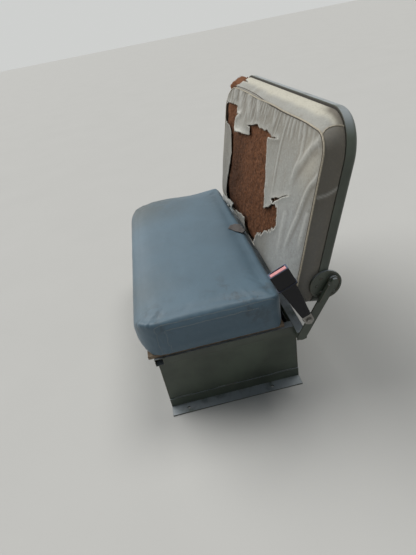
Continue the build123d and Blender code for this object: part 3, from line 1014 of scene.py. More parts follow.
@cache
def heads_layout():
    """A domed or flat head on a washer, at each point and facing its way."""
    t = Layout("Heads on points", Radius=0.0042, Height=0.0012, Sides=16, Washer=0.0046)
    radius, height = t.given["Radius"], t.given["Height"]
    head = t.lifted(t.cylinder(t.given["Sides"], radius, height), height * 0.5)
    inner = radius * 0.86
    dome = t.lifted(t.ball(16, 8, 1.0), height, t.vector(inner, inner, height * 0.45))
    washer = t.cylinder(20, t.given["Washer"], height * 0.4)
    turn = t.facing(t.stored("facing", "FLOAT_VECTOR"))
    return t.on_points(t.given["Geometry"], t.joined(head, dome, washer), Rotation=turn)


@cache
def hairs_layout():
    """Loose curled hairs on the bare part of the pad."""
    t = Layout("Hairs on a pad", Density=17000.0, Length=0.0085, Radius=0.00022, Seed=3)
    density = t.stored("bare", "FLOAT") * t.given["Density"]
    points = t.node("GeometryNodeDistributePointsOnFaces", {}, {
        "Mesh": t.given["Geometry"], "Density": density, "Seed": t.given["Seed"]})
    return t.strands_on_points(points, 0.45, 1.2, 11, 5)


@cache
def fray_layout():
    """Loose threads along a torn edge."""
    t = Layout("Threads along an edge", Pitch=0.0021, Length=0.0058, Radius=0.00026, Seed=2)
    return t.strands_on_points(t.steps(), 0.3, 1.3, t.given["Seed"], 8)


def laid(layout, source, name, look, body, slot=None, **sizes):
    """Runs a layout on a source, keeps the result as a plain mesh on its body and drops the source."""
    tree = layout()
    modifier = source.modifiers.new(tree.name, "NODES")
    modifier.node_group = tree
    labels = {s.name: s.identifier for s in tree.interface.items_tree if s.in_out == "INPUT"}
    for label, value in {**sizes, "Material": looks[look]}.items():
        modifier[labels[label]] = value
    source.update_tag()
    bpy.context.view_layer.update()
    mesh = plain_mesh(source)
    if not mesh.polygons:
        raise RuntimeError(f"{name} came out empty")
    bpy.data.objects.remove(source)
    mesh.name = name
    finished(linked(name, mesh), body)


def add_paths(paths, closed=False):
    """A hidden source of edges that follow paths of points."""
    points, edges = [], []
    for path in paths:
        first, count = len(points), len(path)
        points += [tuple(p) for p in path]
        edges += [(first + i, first + i + 1) for i in range(count - 1)]
        if closed:
            edges.append((first + count - 1, first))
    mesh = bpy.data.meshes.new("paths")
    mesh.from_pydata(points, edges, [])
    return linked("paths", mesh)


def add_points(points, facing):
    """A hidden source of points, with the way that each one faces or the one way that all face."""
    mesh = bpy.data.meshes.new("points")
    mesh.from_pydata([tuple(p) for p in points], [], [])
    ways = np.broadcast_to(np.asarray(facing, np.float32), (len(points), 3))
    mesh.attributes.new("facing", "FLOAT_VECTOR", "POINT").data.foreach_set("vector", ways.ravel())
    return linked("points", mesh)


def finished(piece, body):
    """Puts the finished piece on its body."""
    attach(piece, body)


def rounded_loop(half, low, high, low_corner, near_corner, far_corner, per_side=40, per_corner=14):
    """Points round an upright rectangle with rounded corners, from its foot's middle by the near side."""
    corners = (
        (half - low_corner, low + low_corner, low_corner, -90),
        (half - near_corner, high - near_corner, near_corner, 0),
        (far_corner - half, high - far_corner, far_corner, 90),
        (low_corner - half, low + low_corner, low_corner, 180),
    )
    points = [(0.0, low)]
    for middle_across, middle_up, radius, turned in corners:
        angles = np.radians(turned + 90 * np.arange(per_corner + 1) / per_corner)
        arc = (middle_across, middle_up) + radius * np.column_stack((np.cos(angles), np.sin(angles)))
        points += [*np.linspace(points[-1], arc[0], per_side + 1)[1:-1], *arc]
    return np.array([*points, *np.linspace(points[-1], (0.0, low), per_side + 1)[1:]])


# The front seam and the shell's edge on the back's plane, and the seam's length up to each point
seam_loop = rounded_loop(COVER_HALF, COVER_LOW, COVER_TOP, LOW_CORNER, SEAM_CORNER, FAR_SEAM_CORNER)
strays = from_table(SEAM_STRAYS, seam_loop[:, 0])
seam_loop[:, 1] += np.where(seam_loop[:, 1] > COVER_TOP - SEAM_CORNER, strays, 0)
shell_loop = rounded_loop(COVER_HALF, COVER_LOW, BAND_TOP, LOW_CORNER, BAND_CORNER, BAND_CORNER)
seam_length = np.concatenate(([0.0], np.cumsum(np.linalg.norm(np.diff(seam_loop, axis=0), axis=1))))

# Middle of the near top corner, along the seam
NEAR_CORNER_ALONG = 0.5 * float(np.sum([
    seam_length[np.argmax(seam_loop[:, 1] >= COVER_TOP - SEAM_CORNER)],
    seam_length[np.argmax(seam_loop[:, 1] >= COVER_TOP - 1e-6)]]))


def loop_at(loop, along):
    """Places on a loop at distances along the seam."""
    return np.column_stack([np.interp(along, seam_length, loop[:, i]) for i in (0, 1)])


def along_top(across):
    """How far along the seam places of its top run are."""
    top = seam_loop[:, 1] > COVER_TOP - 0.002
    return np.interp(-across, -seam_loop[top, 0], seam_length[top])


def side_crease(along, back):
    """1 on the crease that crosses the near side of the band, and 0 away from it."""
    near = seam_loop[:, 0] > COVER_HALF - 1e-4
    ups, shares = zip(*SIDE_CREASE)
    starts = np.interp(ups, seam_loop[near, 1], seam_length[near])
    crease = np.column_stack((starts, np.array(shares) * BAND_DEPTH))
    gap, _ = nearest_on_path(np.column_stack((along, back * BAND_DEPTH)), crease)
    return bell(gap, 0.0035)


def corner_seam(back):
    """How far along the seam the near corner's piping is, at each share of the band's depth."""
    return NEAR_CORNER_ALONG + np.interp(back, *zip(*CORNER_PIPING)) * MM


def band_place(along, back, swell=0.004):
    """Places on the band, from how far along the seam they are and their share of the band's depth."""
    along, back = np.asarray(along, float), np.clip(back, 0, 1)
    front, rear = loop_at(seam_loop, along), loop_at(shell_loop, along)
    flat = front * (1 - back[:, None]) + rear * back[:, None]
    ahead = loop_at(seam_loop, np.minimum(along + 0.004, seam_length[-1]))
    behind = loop_at(seam_loop, np.maximum(along - 0.004, 0))
    way = ahead - behind
    way /= np.linalg.norm(way, axis=1)[:, None]
    outward = np.column_stack((way[:, 1], -way[:, 0]))
    plain = on_back(*flat.T, -BAND_DEPTH * back)
    from_disc = np.hypot(plain[:, 1] - DISC_MIDDLE[0], plain[:, 2] - DISC_MIDDLE[1])
    free = np.where(np.abs(flat[:, 0]) > 0.48, smooth(from_disc, *DISC_CLEAR), 1.0)
    puckers = ripple(np.column_stack((along * 26, back * 1.3)), 1.0, 4.2) * 0.0018
    puckers += 0.0022 * side_crease(along, back)
    rise = (swell + puckers) * np.maximum(np.sin(np.pi * back), 0) ** 0.8 * free
    tuck = 0.0015 * smooth(back, 0.92, 1.0)
    lift = far_lift(*front.T) * (1 - back)
    flat += outward * (rise - tuck)[:, None]
    return on_back(*flat.T, lift - BAND_DEPTH * back)


def gathers(settings):
    """Small folds that run down from the top seam, in metres: width, height and the way that each runs."""
    rng = random.Random(settings.seed)
    folds = []
    across = 0.027 - COVER_HALF
    while across < COVER_HALF - 0.02:
        length = rng.choice((0.03, 0.04, 0.06, 0.08)) * rng.uniform(0.8, 1.2) * (1.5 if across < 0 else 1.0)
        drift = rng.uniform(-0.02, 0.02)
        way = [(across + drift * i / 4, COVER_TOP - 0.001 - length * i / 4) for i in range(5)]
        folds.append((rng.uniform(0.0035, 0.0065), rng.uniform(0.0010, 0.0025), way))
        across += settings.gather_pitch * rng.uniform(0.7, 1.3)
    return folds + [(width * MM, height * MM, in_metres(way)) for width, height, way in DRAWN_FOLDS]


def near_flap(points, reach):
    """1 in the middle of the flap that hangs loose at the top of the tear, and 0 away from it."""
    return bell(np.hypot(points[:, 0] - FLAP[0], points[:, 1] - FLAP[1]), reach)


def front_rise(points, folds, tears):
    """How far folds and torn edges stand out of the panel's crown, and shares of painted shade in the
    hollows and of painted highlight on the crests.
    """
    rise = 0.0010 * ripple(points, 22.0) + 0.0006 * ripple(points, 70.0, 3.0)
    hollows, crests = np.zeros(len(points)), np.zeros(len(points))
    for width, height, way in folds:
        gap, along = nearest_on_path(points, way)
        run = np.array(way)[::-1]
        shaded = np.where(points[:, 0] > np.interp(points[:, 1], run[:, 1], run[:, 0]), 1.0, 0.35)
        fade = 1 - smooth(along, 0.55, 1.0)
        ridge = height * bell(gap, width) * fade
        hollow = bell(gap - 2.1 * width, width) * fade
        rise = np.maximum(rise + ridge - 0.25 * height * hollow, rise * 0.4 + ridge)
        hollow *= shaded * min(1.0, height / 0.0026) * (ridge < 0.3 * height) * 0.8
        hollows = np.maximum(hollows, hollow)
        crests = np.maximum(crests, bell(gap, width) * fade * min(1.0, height / 0.0020))
    for width, depth, way in DRAWN_HOLLOWS:
        gap, along = nearest_on_path(points, in_metres(way))
        dip = bell(gap, width * MM) * (1 - smooth(along, 0.7, 1.0))
        rise -= depth * MM * dip
        hollows = np.maximum(hollows, 0.85 * dip)
    flap = near_flap(points, 0.075)
    for tear in tears:
        gap = distance_from(points, tear)
        lift = 0.0030 + 0.0022 * ripple(points, 31.0, 8.0)
        rise += np.maximum(lift, 0.0006) * np.exp(-(gap / 0.009) ** 1.4)
        rise += flap * 0.007 * bell(gap, 0.013)
    rise += 0.005 * flap
    edge = distance_from(points, seam_loop)
    return np.maximum(rise, -0.0014) * smooth(edge, 0.0, 0.007), hollows, crests


def on_panel(run, folds, tears, lift):
    """Places over the front panel along a run of points across and up the back."""
    return on_back(*run.T, crown(*run.T) + front_rise(run, folds, tears)[0] + lift)


def seam_stitches():
    """Where the front panel's stitches run, a little inside its seam."""
    edge = loop_at(seam_loop, np.linspace(0, seam_length[-1], 900)[:-1])
    middle = (COVER_TOP + COVER_LOW) / 2
    across = edge[:, 0] * (1 - STITCHES_IN / COVER_HALF)
    up = middle + (edge[:, 1] - middle) * (1 - 2 * STITCHES_IN / (COVER_TOP - COVER_LOW))
    return np.column_stack((across, up))


def torn_rim(points, tears, width):
    """1 on a torn edge and 0 away from it: where the pale backing shows on the cover, and where painted
    shadow falls on the pad.
    """
    return np.max([bell(distance_from(points, tear), width) for tear in tears], axis=0)


def store(piece, **numbers):
    """Keeps numbers on the piece's points for its finish."""
    for name, values in numbers.items():
        layer = piece.data.attributes.new(name, "FLOAT", "POINT")
        layer.data.foreach_set("value", np.asarray(values, np.float32))


def within_cover(points, gap):
    """Keeps points of the padding inside the cover by a gap."""
    across, up, out = off_back(points)
    out = np.minimum(out, crown(across, up) - gap)
    back = np.clip(-out / BAND_DEPTH, 0, 1)
    top = COVER_TOP + back * (BAND_TOP - COVER_TOP)
    first = np.where(across > 0, SEAM_CORNER, FAR_SEAM_CORNER)
    high = first + back * (BAND_CORNER - first)
    across = np.clip(across, gap - COVER_HALF, COVER_HALF - gap)
    up = np.clip(up, COVER_LOW + gap, top - gap)
    for corner, middle, sign in ((high, top - high, 1), (LOW_CORNER, COVER_LOW + LOW_CORNER, -1)):
        side = np.abs(across) - (COVER_HALF - corner)
        rise = sign * (up - middle)
        reach = np.hypot(np.maximum(side, 0), np.maximum(rise, 0))
        over = (side > 0) & (rise > 0) & (reach > corner - gap)
        share = np.where(over, (corner - gap) / np.maximum(reach, 1e-9), 1.0)
        across = np.where(over, np.sign(across) * (COVER_HALF - corner + side * share), across)
        up = np.where(over, middle + sign * rise * share, up)
    return on_back(across, up, out)


def bare_hair(points, flat):
    """Whether each point of the padding lies where the cover is torn away."""
    across, up, out = off_back(points)
    along = along_top(across)
    corner_across, corner_up = TORN_CORNER
    along = np.where(across < corner_across, along + np.maximum(0, COVER_TOP - up) * 0.5, along)
    on_band = inside(np.column_stack((along, -out / BAND_DEPTH)), band_tears())
    return (
        inside(flat, in_metres(TEAR)) & (out > -0.004)
        | (across < corner_across) & (up > corner_up) & (out < 0)
        | inside(flat, in_metres(SMALL_TEAR)) & (out > 0)
        | on_band & (up > 0.36) & (out < 0.002))


def tufted(points):
    """Points of the padding, with the hair that stands out of the torn far top corner."""
    across, up, out = off_back(points)
    back = np.clip(-out / BAND_DEPTH, 0, 1)
    loose = smooth(back, 0.02, 0.20)
    radius = FAR_SEAM_CORNER + back * (BAND_CORNER - FAR_SEAM_CORNER)
    middle = COVER_TOP + back * (BAND_TOP - COVER_TOP) - radius
    side, rise = radius - COVER_HALF - across, up - middle
    corner = (side > 0) & (rise > 0)
    reach = np.maximum(np.hypot(side, rise), 1e-9)
    square = ((np.abs(side) / reach) ** 4 + (np.abs(rise) / reach) ** 4) ** -0.25
    stretch = np.where(corner, 1 + (square - 1) * loose, 1.0)
    across = np.where(corner, radius - COVER_HALF - side * stretch, across)
    up = np.where(corner, middle + rise * stretch, up)
    share = smooth(-across, *HAIR_RISES[0]) * smooth(up, *HAIR_RISES[1]) * loose
    up = up + HAIR_UP * share * (1 - 0.75 * smooth(back, 0.65, 1.0))
    corner = smooth(-across, *HAIR_SPREADS[0]) * smooth(up, *HAIR_SPREADS[1]) * loose
    out = out + (far_lift(across, up) + HAIR_OUT) * (1 - back) * corner
    return on_back(across - HAIR_ACROSS * corner, up, out)


def in_metres(loop):
    return [(x * MM, y * MM) for x, y in loop]


def front_tears():
    return [ragged(in_metres(TEAR), 0.0022, 1.0), ragged(in_metres(SMALL_TEAR), 0.0010, 2.0)]


def band_tears():
    """The band's tear, as distances along the seam and shares of the band."""
    middle = along_top(0.0)
    return [(middle - x * MM, t * MM / BAND_WIDTH) for x, t in BAND_TEAR]


def colour_setting(name, description, default):
    return FloatVectorProperty(
        name=name, description=description, default=default, size=3, subtype="COLOR", min=0.0, max=1.0)


def length_setting(name, description, default, low, high):
    return FloatProperty(
        name=name, description=description, default=default, min=low, max=high, unit="LENGTH",
        subtype="DISTANCE")


class BenchSettings(bpy.types.PropertyGroup):
    cushion_colour: colour_setting("Cushion", "Colour of the cushion's cover", (0.080, 0.138, 0.186))
    cover_colour: colour_setting("Back cover", "Colour of the back's cover", (0.290, 0.290, 0.268))
    hair_colour: colour_setting("Hair", "Colour of the back's hair pad", (0.114, 0.046, 0.020))
    paint_colour: colour_setting("Paint", "Colour of the painted steel", (0.060, 0.074, 0.055))
    button_colour: colour_setting("Button", "Colour of the buckle's button", (0.52, 0.20, 0.21))
    pressure: FloatProperty(
        name="Swell", description="Pressure inside the padded pieces", default=4.0, min=0.5, max=12.0)
    gather_pitch: length_setting(
        "Gather spacing", "Space between gathers under the top seam", 0.027, 0.01, 0.2)
    stitch_pitch: length_setting("Stitch spacing", "Space from one stitch to the next", 0.0052, 0.002, 0.02)
    hair_density: FloatProperty(
        name="Hairs", description="Loose hairs on each square metre of bare pad", default=17000.0,
        min=100.0, max=60000.0)
    seed: IntProperty(name="Seed", description="Start of the random gathers", default=7, min=0)


class BENCH_OT_finishes(bpy.types.Operator):
    """Makes the materials and gives every steel, wood, rubber and plastic piece its own"""
    bl_idname = "bench.finishes"
    bl_label = "Finishes"

    def execute(self, context):
        settings = context.scene.bench
        looks.update(
            cushion_cover=seat_vinyl(tuple(settings.cushion_colour)),
            back_cover=cover_cloth("back_cover", tuple(settings.cover_colour), (0.20, 0.175, 0.135)),
            grimy_cloth=cover_cloth("grimy_cloth", (0.066, 0.056, 0.052), (0.035, 0.027, 0.022)),
            hair=rubbered_hair(tuple(settings.hair_colour)),
            green_paint=worn_paint(tuple(settings.paint_colour)),
            bare_steel=dull_steel(),
            black_plastic=black_plastic(),
            button_red=button_plastic(tuple(settings.button_colour)),
            board=bare_plywood(),
            bumper_rubber=black_rubber(),
            thread=pale_thread((0.42, 0.40, 0.34)),
            fray=pale_thread((0.48, 0.44, 0.36)),
            piping=pale_thread((0.47, 0.42, 0.33)),
            dark_tape=pale_thread((0.070, 0.055, 0.042)))
        for node in nodes.values():
            for i, slot in enumerate([material.name for material in node.data.materials]):
                node.data.materials[i] = looks[slot]
        return {"FINISHED"}


def seam_round(surface, across, first=-22, last=165, count=150):
    """Where a seam crosses the cushion at one distance from the middle, from its front foot to its rear."""
    middle = Vector((across, *CUSHION_MIDDLE))
    path = []
    for angle in np.radians(np.linspace(first, last, count)):
        way = Vector((0, -math.cos(angle), math.sin(angle)))
        place, normal, *_ = surface.ray_cast(middle + way * RAY_LENGTH, -way, RAY_LENGTH)
        if place is not None:
            path.append(place + normal * 0.0001)
    return path


def worn_cushion(points, normals):
    """The swollen cushion's points, with its sunken far end, its full front and its firm rear edge."""
    drop = from_table(FAR_DROP, points[:, 1])
    points[:, 2] -= drop * smooth(-points[:, 0], *SUNKEN_ACROSS) * smooth(points[:, 2], *SUNKEN_UP)
    points[:, 1] -= FULLER_FRONT * smooth(-normals[:, 1], 0.2, 0.8)
    edge = np.maximum(points[:, 1:] - REAR_EDGE, 1e-9)
    reach = np.hypot(*edge.T)
    square = ((edge[:, 0] / reach) ** 3 + (edge[:, 1] / reach) ** 3) ** (-1 / 3)
    firm = smooth(points[:, 0], *FIRM_FAR) * smooth(points[:, 0], *FIRM_NEAR)
    firm *= (points[:, 1:] > REAR_EDGE).all(axis=1)
    points[:, 1:] += edge * ((square - 1) * firm)[:, None]
    return points


def cushion_rise(points, normals):
    """How far puckers and wrinkles stand out of the cushion, and its pressed seams in."""
    seam = np.abs(points[:, 0]) - CUSHION_SEAM
    above = smooth(points[:, 2], *SEAMS_FROM)
    press = -SEAM_DEPTH * bell(seam, 0.0035)
    waves = WAVE_HEIGHT * ripple(points[:, :2], 9.0) * smooth(points[:, 2], *WAVES_FROM)
    puckers = ripple(points[:, [1, 2]], 62.0, 1.0) * bell(seam, 0.020) * PUCKER_HEIGHT
    for across, front, width, height in CUSHION_FOLDS:
        gap, along = nearest_on_path(points[:, :2], [across, front])
        waves += height * bell(gap, width) * (1 - smooth(along, 0.4, 1.0)) * above
    return (press + puckers) * above + waves * (normals[:, 2] > 0.2)


class BENCH_OT_cushion(bpy.types.Operator):
    """Swells the cushion, presses in the seams of its end panels and stitches them"""
    bl_idname = "bench.cushion"
    bl_label = "Cushion"

    def execute(self, context):
        settings = context.scene.bench
        cushion = soft_copy("cushion", "cushion_cover", "cushion_cover")
        inflate(cushion, settings.pressure, places_of(cushion)[:, 2] < CUSHION_HELD, CUSHION_SWELL)
        normals = normals_of(cushion)
        points = worn_cushion(places_of(cushion), normals)
        set_places(cushion, points + normals * cushion_rise(points, normals)[:, None])
        smooth_shaded(cushion)
        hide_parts("cushion")
        finished(cushion, "seat")
        made["cushion"] = surface_of(cushion)
        paths = [seam_round(made["cushion"], side * (CUSHION_SEAM + aside))
                 for side in (-1, 1) for aside in (-CUSHION_STITCHES, CUSHION_STITCHES)]
        pitch = settings.stitch_pitch
        laid(beads_layout, add_paths(paths), "cushion_stitches", "thread", "seat", Pitch=pitch)
        return {"FINISHED"}


class BENCH_OT_hair_pad(bpy.types.Operator):
    """Swells the back's hair pad inside its cover and roughens it where the cover is torn"""
    bl_idname = "bench.hair_pad"
    bl_label = "Hair pad"

    def execute(self, context):
        settings = context.scene.bench
        pad = soft_copy("back_pad", "hair_pad", "hair")
        points = within_cover(places_of(pad), 0.0095)
        set_places(pad, points)
        inflate(pad, settings.pressure, off_back(points)[2] < 0.004 - BAND_DEPTH, PAD_SWELL)
        points, normals = places_of(pad), normals_of(pad)
        across, up, out = off_back(points)
        flat = np.column_stack((across, up))
        bare = bare_hair(points, flat)
        lumps = np.array([
            0.0022 * noise.noise(Vector(p) * 30.0) + 0.0014 * noise.noise(Vector(p) * 110.0)
            for p in points])
        points = within_cover(points + normals * (lumps - 0.0014)[:, None], 0.0038)
        set_places(pad, tufted(points) + normals * (lumps * bare * 0.6)[:, None])
        smooth_shaded(pad)
        # under: painted shadow on the pad just inside the front panel's torn edges.
        store(pad, bare=bare, under=torn_rim(flat, front_tears(), 0.0055) * (out > 0))
        source = linked("source", pad.data.copy())
        laid(hairs_layout, source, "loose_hairs", "hair", "back", Density=settings.hair_density)
        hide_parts("back_pad")
        finished(pad, "back")
        return {"FINISHED"}


class BENCH_OT_front_panel(bpy.types.Operator):
    """Cuts the back's torn front panel, lays its folds and frays its torn edges"""
    bl_idname = "bench.front_panel"
    bl_label = "Front panel"

    def execute(self, context):
        settings = context.scene.bench
        folds, tears = gathers(settings), front_tears()
        outline = seam_loop[:-1]
        flat, faces = cut_cloth(outline, tears, 0.0036)
        rise, hollows, crests = front_rise(flat, folds, tears)
        flap = near_flap(flat, 0.065)
        seam_shade = 0.8 * bell(distance_from(flat, seam_loop), 0.006)
        far_strip = 0.8 * smooth(-flat[:, 0], 0.25, 0.38) * (1 - smooth(flat[:, 1], 0.32, 0.38))
        # Darker low on the panel beside the cushion: partly dirt, partly painted shadow from the cushion.
        soiled_and_shaded = 0.80 * smooth(0.16 - flat[:, 1], 0.0, 0.12) * smooth(0.37 - flat[:, 0], 0.0, 0.14)
        panel = sewn(
            # crest: painted highlight on the crests of the folds.
            "front_panel", on_back(*flat.T, crown(*flat.T) + rise), faces, flat, "back_cover", crest=crests,
            rim=np.maximum(torn_rim(flat, tears, 0.0022 + 0.0110 * flap), 0.30 * flap),
            # hollow: painted shade in fold hollows and along the seam, plus the darker far strip and the
            # darker patch low on the panel.
            hollow=np.max([hollows, seam_shade, far_strip, soiled_and_shaded], axis=0))
        area = flat_area(flat, faces)
        finished(panel, "back")
        loops = [np.array(spaced_loop(tear, 0.003)) for tear in tears]
        runs = [run for loop in loops for run in kept_runs(loop, inside(loop, outline))]
        paths = [on_panel(run, folds, tears, -0.0007) for run in runs]
        laid(fray_layout, add_paths(paths), "torn_threads", "fray", "back")
        line = seam_stitches()
        paths = [on_panel(run, folds, tears, 0.0001) for run in kept_runs(line, ~inside(line, tears[0]))]
        laid(beads_layout, add_paths(paths), "back_stitches", "thread", "back", Pitch=settings.stitch_pitch)
        return {"FINISHED"}


def cut_band(tear):
    """Cuts the band with its torn corner, lays it round the back and closes it at its foot."""
    whole = float(seam_length[-1])
    outline = [(0.0, 0.0), (whole, 0.0), (whole, BAND_WIDTH), (0.0, BAND_WIDTH)]
    flat, faces = cut_cloth(outline, [tear], 0.005)
    along, back = flat[:, 0], flat[:, 1] / BAND_WIDTH
    # turn: painted shade where the band turns down at its near top corner.
    turn = bell(along - NEAR_CORNER_ALONG - 0.034, 0.050) * smooth(back, 0.50, 0.85)
    # side: 1 on the band's sides past the corner piping, where they are painted dark as shade.
    side = smooth(corner_seam(back) - np.minimum(along, whole - along), -0.003, 0.003)
    band = sewn(
        "back_band", band_place(along, back), faces[:, ::-1], flat, "back_cover", closed=True,
        # crest: painted highlight along the side crease.
        rim=torn_rim(flat, [tear], 0.0022), crest=side_crease(along, back), side=side,
        # hollow: painted shade at that turn, and on the sides growing towards the shell.
        hollow=np.maximum(turn * 1.6, side * smooth(back, 0.45, 1.0) * 0.9),
        # Share of the band's rear that takes painted sunlight on its upward faces.
        bleach=smooth(back + 0.16 * ripple(flat, 9.0, 5.0), 0.30, 0.62))
    finished(band, "back")


def seam_cord(name, look, path, closed=True, **sizes):
    """A cord of the back's cover along a path."""
    laid(cord_layout, add_paths([path], closed=closed), name, look, "back", "back_cover", **sizes)


class BENCH_OT_band(bpy.types.Operator):
    """Cuts the band round the back's edge and the piping of its seams"""
    bl_idname = "bench.band"
    bl_label = "Band and piping"

    def execute(self, context):
        tear = ragged([(x, t * BAND_WIDTH) for x, t in band_tears()], 0.0020, 3.0)
        cut_band(tear)
        along = np.linspace(0, seam_length[-1], 640)[:-1]
        edge = loop_at(seam_loop, along)
        outward = edge - (0.0, (COVER_TOP + COVER_LOW) / 2)
        outward /= np.linalg.norm(outward, axis=1)[:, None]
        far = smooth(-edge[:, 0], -0.10, 0.14)
        cord = edge + outward * (0.0012 - 0.0042 * far)[:, None]
        seam_cord("seam_piping", "piping", on_back(*cord.T, far_lift(*cord.T) + 0.0006 + 0.0008 * far))
        # A dark cord just inside the front seam, a painted shadow of the seam's groove; on the far half it
        # lies on the band just behind the seam.
        cord = edge - outward * 0.0030
        path = on_back(*cord.T, far_lift(*cord.T) + 0.0014)
        path += far[:, None] * (band_place(along, np.full(len(along), 0.085)) + 0.0004 * UP - path)
        seam_cord("seam_shadow_cord", "dark_tape", path, Radius=0.0014, Sides=6)
        shares = np.linspace(0.0, 0.96, 30)
        path = band_place(corner_seam(shares), shares) + 0.0004 * UP
        seam_cord("corner_piping", "piping", path, closed=False, Radius=0.0020)
        rim = np.array([p for p in spaced_loop(tear, 0.003) if 0.002 < p[1] < BAND_WIDTH - 0.002])
        source = add_paths([band_place(rim[:, 0], rim[:, 1] / BAND_WIDTH)])
        laid(fray_layout, source, "band_threads", "fray", "back", Pitch=0.0022, Length=0.006, Seed=5)
        return {"FINISHED"}


class BENCH_OT_scraps(bpy.types.Operator):
    """Lays the torn-off strip and scrap of cover on the cushion"""
    bl_idname = "bench.scraps"
    bl_label = "Scraps"

    def execute(self, context):
        steps, rows = 64, 10
        grids = np.meshgrid(np.linspace(0, 1, steps), np.linspace(0, 1, rows))
        along, up = (grid.ravel() for grid in grids)
        nicks = 1 - 0.30 * np.abs(ripple(np.column_stack((along * 7, along * 0)), 1.0, 2.0))
        across = STRIP_START[0] + STRIP_RUN[0] * along
        rise = STRIP_START[1] + STRIP_RUN[1] * along + STRIP_WIDTH * up * nicks
        curl = 0.006 * np.sin(up * 2.6) + 0.004 * ripple(np.column_stack((along * 5, up)), 1.0, 6.0)
        quads = [(r * steps + i, r * steps + i + 1, (r + 1) * steps + i + 1, (r + 1) * steps + i)
                 for r in range(rows - 1) for i in range(steps - 1)]
        strip = sewn(
            "torn_strip", on_back(across, rise, 0.047 - 0.004 * up + curl), quads,
            np.column_stack((across, rise)), "back_cover", STRIP_THICKNESS)
        finished(strip, "seat")
        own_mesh(strip)
        flat, faces = cut_cloth(in_metres(SCRAP), [], 0.004)
        points = []
        for x, y in flat:
            hit = made["cushion"].ray_cast(Vector((x, min(y, 0.172), 0.6)), Vector((0, 0, -1)), 0.4)
            ruffle = 0.0022 * (1 + noise.noise(Vector((x * 40, y * 40, 0))))
            points.append((x, y, hit[0].z + 0.0022 + ruffle))
        scrap = sewn("torn_scrap", points, faces, flat, "grimy_cloth")
        finished(scrap, "seat")
        return {"FINISHED"}


def row(start, end, count):
    """Places from one to another."""
    return [tuple(place) for place in np.linspace(start, end, count)]


def heads(name, slot, body, places, facing, **sizes):
    """Rivets or screws with the finish of a slot."""
    laid(heads_layout, add_points(places, facing), name, slot, body, slot, **sizes)


def welds(name, body, rows, **sizes):
    """Painted welds along rows of places."""
    laid(beads_layout, add_paths(rows), name, "green_paint", body, "green_paint", **sizes)


def frame_weld_rows(side):
    """The welds of one side rail: above and below at its front and rear, beside its rear, and upright."""
    inner, outer, beside = side * 0.4565, side * 0.4835, side * 0.5185
    rows = []
    for z in RAIL_WELDS_UP:
        rows += [row((inner, y, z), (outer, y, z), 8) for y in (-0.187, 0.237)]
        rows.append(row((beside, 0.238, z), (beside, 0.264, z), 8))
    low, high = RAIL_WELDS_UPRIGHT
    return rows + [row((beside, y, low), (beside, y, high), 8) for y in (0.237, 0.265)]


class BENCH_OT_hardware(bpy.types.Operator):
    """Adds the rivets, screws and welds of the steel pieces"""
    bl_idname = "bench.hardware"
    bl_label = "Rivets, screws and welds"

    def execute(self, context):
        back, up = DISC_MIDDLE
        rivets = [(side * DISC_FACE, back + RIVET_RING * math.cos(turn), up + RIVET_RING * math.sin(turn))
                  for side in (-1, 1) for turn in np.radians(RIVET_TURNS)]
        ways = [(math.copysign(1, across), 0, 0) for across, _, _ in rivets]
        heads("disc_rivets", "green_paint", "back", rivets, ways)
        screws = on_back(SHELL_SCREWS, COVER_LOW, SHELL_SCREWS_OUT)
        heads("shell_screws", "green_paint", "back", screws, -UP,
              Radius=0.0036, Height=0.0010, Washer=0.0040)
        for body, z in LEAF_SCREWS_UP:
            screws = [(x, LEAF_FACE, z) for x in LEAF_SCREWS]
            heads(f"leaf_screws_{body}", "green_paint", body, screws, (0, -1, 0),
                  Radius=0.0040, Height=0.0016, Washer=0.0048)
        screws = [(x, y, RAIL_UNDERSIDE) for x in BOARD_SCREWS_ACROSS for y in BOARD_SCREWS_ALONG]
        heads("board_screws", "bare_steel", "seat", screws, (0, 0, -1),
              Radius=0.0055, Height=0.0035, Sides=6, Washer=0.0075)
        rows = [row((out, start, ANGLE_WELD_UP), (out, end, ANGLE_WELD_UP), 10)
                for out in (-ANGLE_WELD_OUT, ANGLE_WELD_OUT) for start, end in ANGLE_WELD_RUNS]
        welds("angle_welds", "base", rows, Pitch=0.0030, Length=0.0048, Width=0.0052)
        rows = frame_weld_rows(-1) + frame_weld_rows(1)
        welds("frame_welds", "seat", rows, Pitch=0.0028, Length=0.0044, Width=0.0045)
        return {"FINISHED"}


def pale_room():
    """A world that lights the seat softly and looks pale to the camera and in reflections."""
    world = bpy.data.worlds.new("Pale room")
    world.use_nodes = True
    room = Nodes(world.node_tree)
    shown = room.node("ShaderNodeBackground", {}, {"Color": (0.62, 0.63, 0.62, 1)})
    fill = room.node("ShaderNodeBackground", {}, {"Color": (0.80, 0.86, 0.92, 1), "Strength": 0.20})
    seen = 0.0
    for kind in ("Camera", "Glossy", "Transmission"):
        seen = room.maths("MAXIMUM", room.node("ShaderNodeLightPath", output=f"Is {kind} Ray"), seen)
    mixed = room.node("ShaderNodeMixShader", {}, {0: seen, 1: fill, 2: shown})
    room.node("ShaderNodeOutputWorld", {}, {0: mixed})
    return world


def add_floor():
    """The pale ground that the seat stands on."""
    f = Finish("floor")
    tint = f.layers((0.50, 0.50, 0.49), [(f.noise(2.0), (0.53, 0.53, 0.52))])
    looks["floor"] = f.surface(tint, 0.9, Specular_IOR_Level=0.1)
    corners = [(across * FLOOR_HALF, along * FLOOR_HALF, 0) for across, along in FLOOR_CORNERS]
    floor = add_piece("floor", corners, [(0, 1, 2, 3)], "floor")


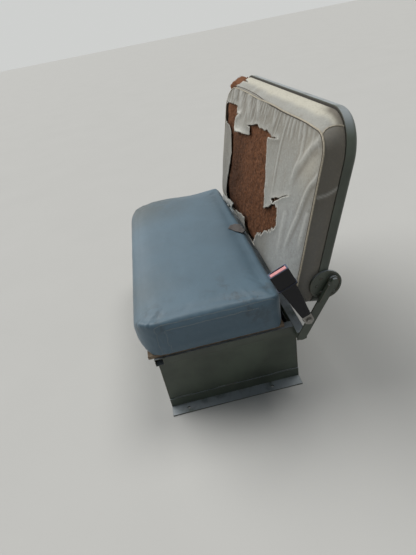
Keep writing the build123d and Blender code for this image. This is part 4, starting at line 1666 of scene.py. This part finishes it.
def add_sun(name, way, spread, power, colour):
    """A soft sun that shines from a way, as wide as its spread in degrees."""
    lamp = bpy.data.lights.new(name, "SUN")
    lamp.energy = power
    lamp.angle = math.radians(spread)
    lamp.color = colour
    linked(name, lamp).rotation_euler = Vector(way).to_track_quat("Z", "Y").to_euler()


class BENCH_OT_stage(bpy.types.Operator):
    """Sets the floor, the light and the camera"""
    bl_idname = "bench.stage"
    bl_label = "Stage"

    def execute(self, context):
        scene = context.scene
        add_floor()
        scene.world = pale_room()
        add_sun("Key", (-0.46, -0.52, 0.72), 55, 2.35, (1.0, 0.985, 0.95))
        add_sun("Top", (-0.20, 0.28, 0.94), 30, 1.15, (1.0, 0.98, 0.93))
        camera = bpy.data.cameras.new("Camera")
        camera.lens = CAMERA_LENS
        camera.sensor_width = CAMERA_SENSOR
        scene.camera = linked("Camera", camera)
        scene.camera.matrix_world = Matrix(CAMERA_PLACE)
        scene.view_settings.view_transform = "Standard"
        return {"FINISHED"}


class BENCH_PT_seat(bpy.types.Panel):
    bl_idname = "BENCH_PT_seat"
    bl_label = "Cab bench seat"
    bl_space_type = "VIEW_3D"
    bl_region_type = "UI"
    bl_category = "Bench seat"

    def draw(self, context):
        column = self.layout.column()
        for name in BenchSettings.__annotations__:
            column.prop(context.scene.bench, name)
        for step in STEPS:
            column.operator(step.bl_idname)


STEPS = (
    BENCH_OT_finishes, BENCH_OT_cushion, BENCH_OT_hair_pad, BENCH_OT_front_panel, BENCH_OT_band,
    BENCH_OT_scraps, BENCH_OT_hardware, BENCH_OT_stage)
CLASSES = (BenchSettings, *STEPS, BENCH_PT_seat)


def register():
    for cls in CLASSES:
        bpy.utils.register_class(cls)
    bpy.types.Scene.bench = PointerProperty(type=BenchSettings)


def unregister():
    del bpy.types.Scene.bench
    for cls in reversed(CLASSES):
        bpy.utils.unregister_class(cls)


def main():
    register()
    for step in STEPS:
        group, name = step.bl_idname.split(".")
        result = getattr(getattr(bpy.ops, group), name)()
        if result != {"FINISHED"}:
            raise RuntimeError(f"{step.bl_label} didn't finish")


if __name__ == "__main__":
    main()
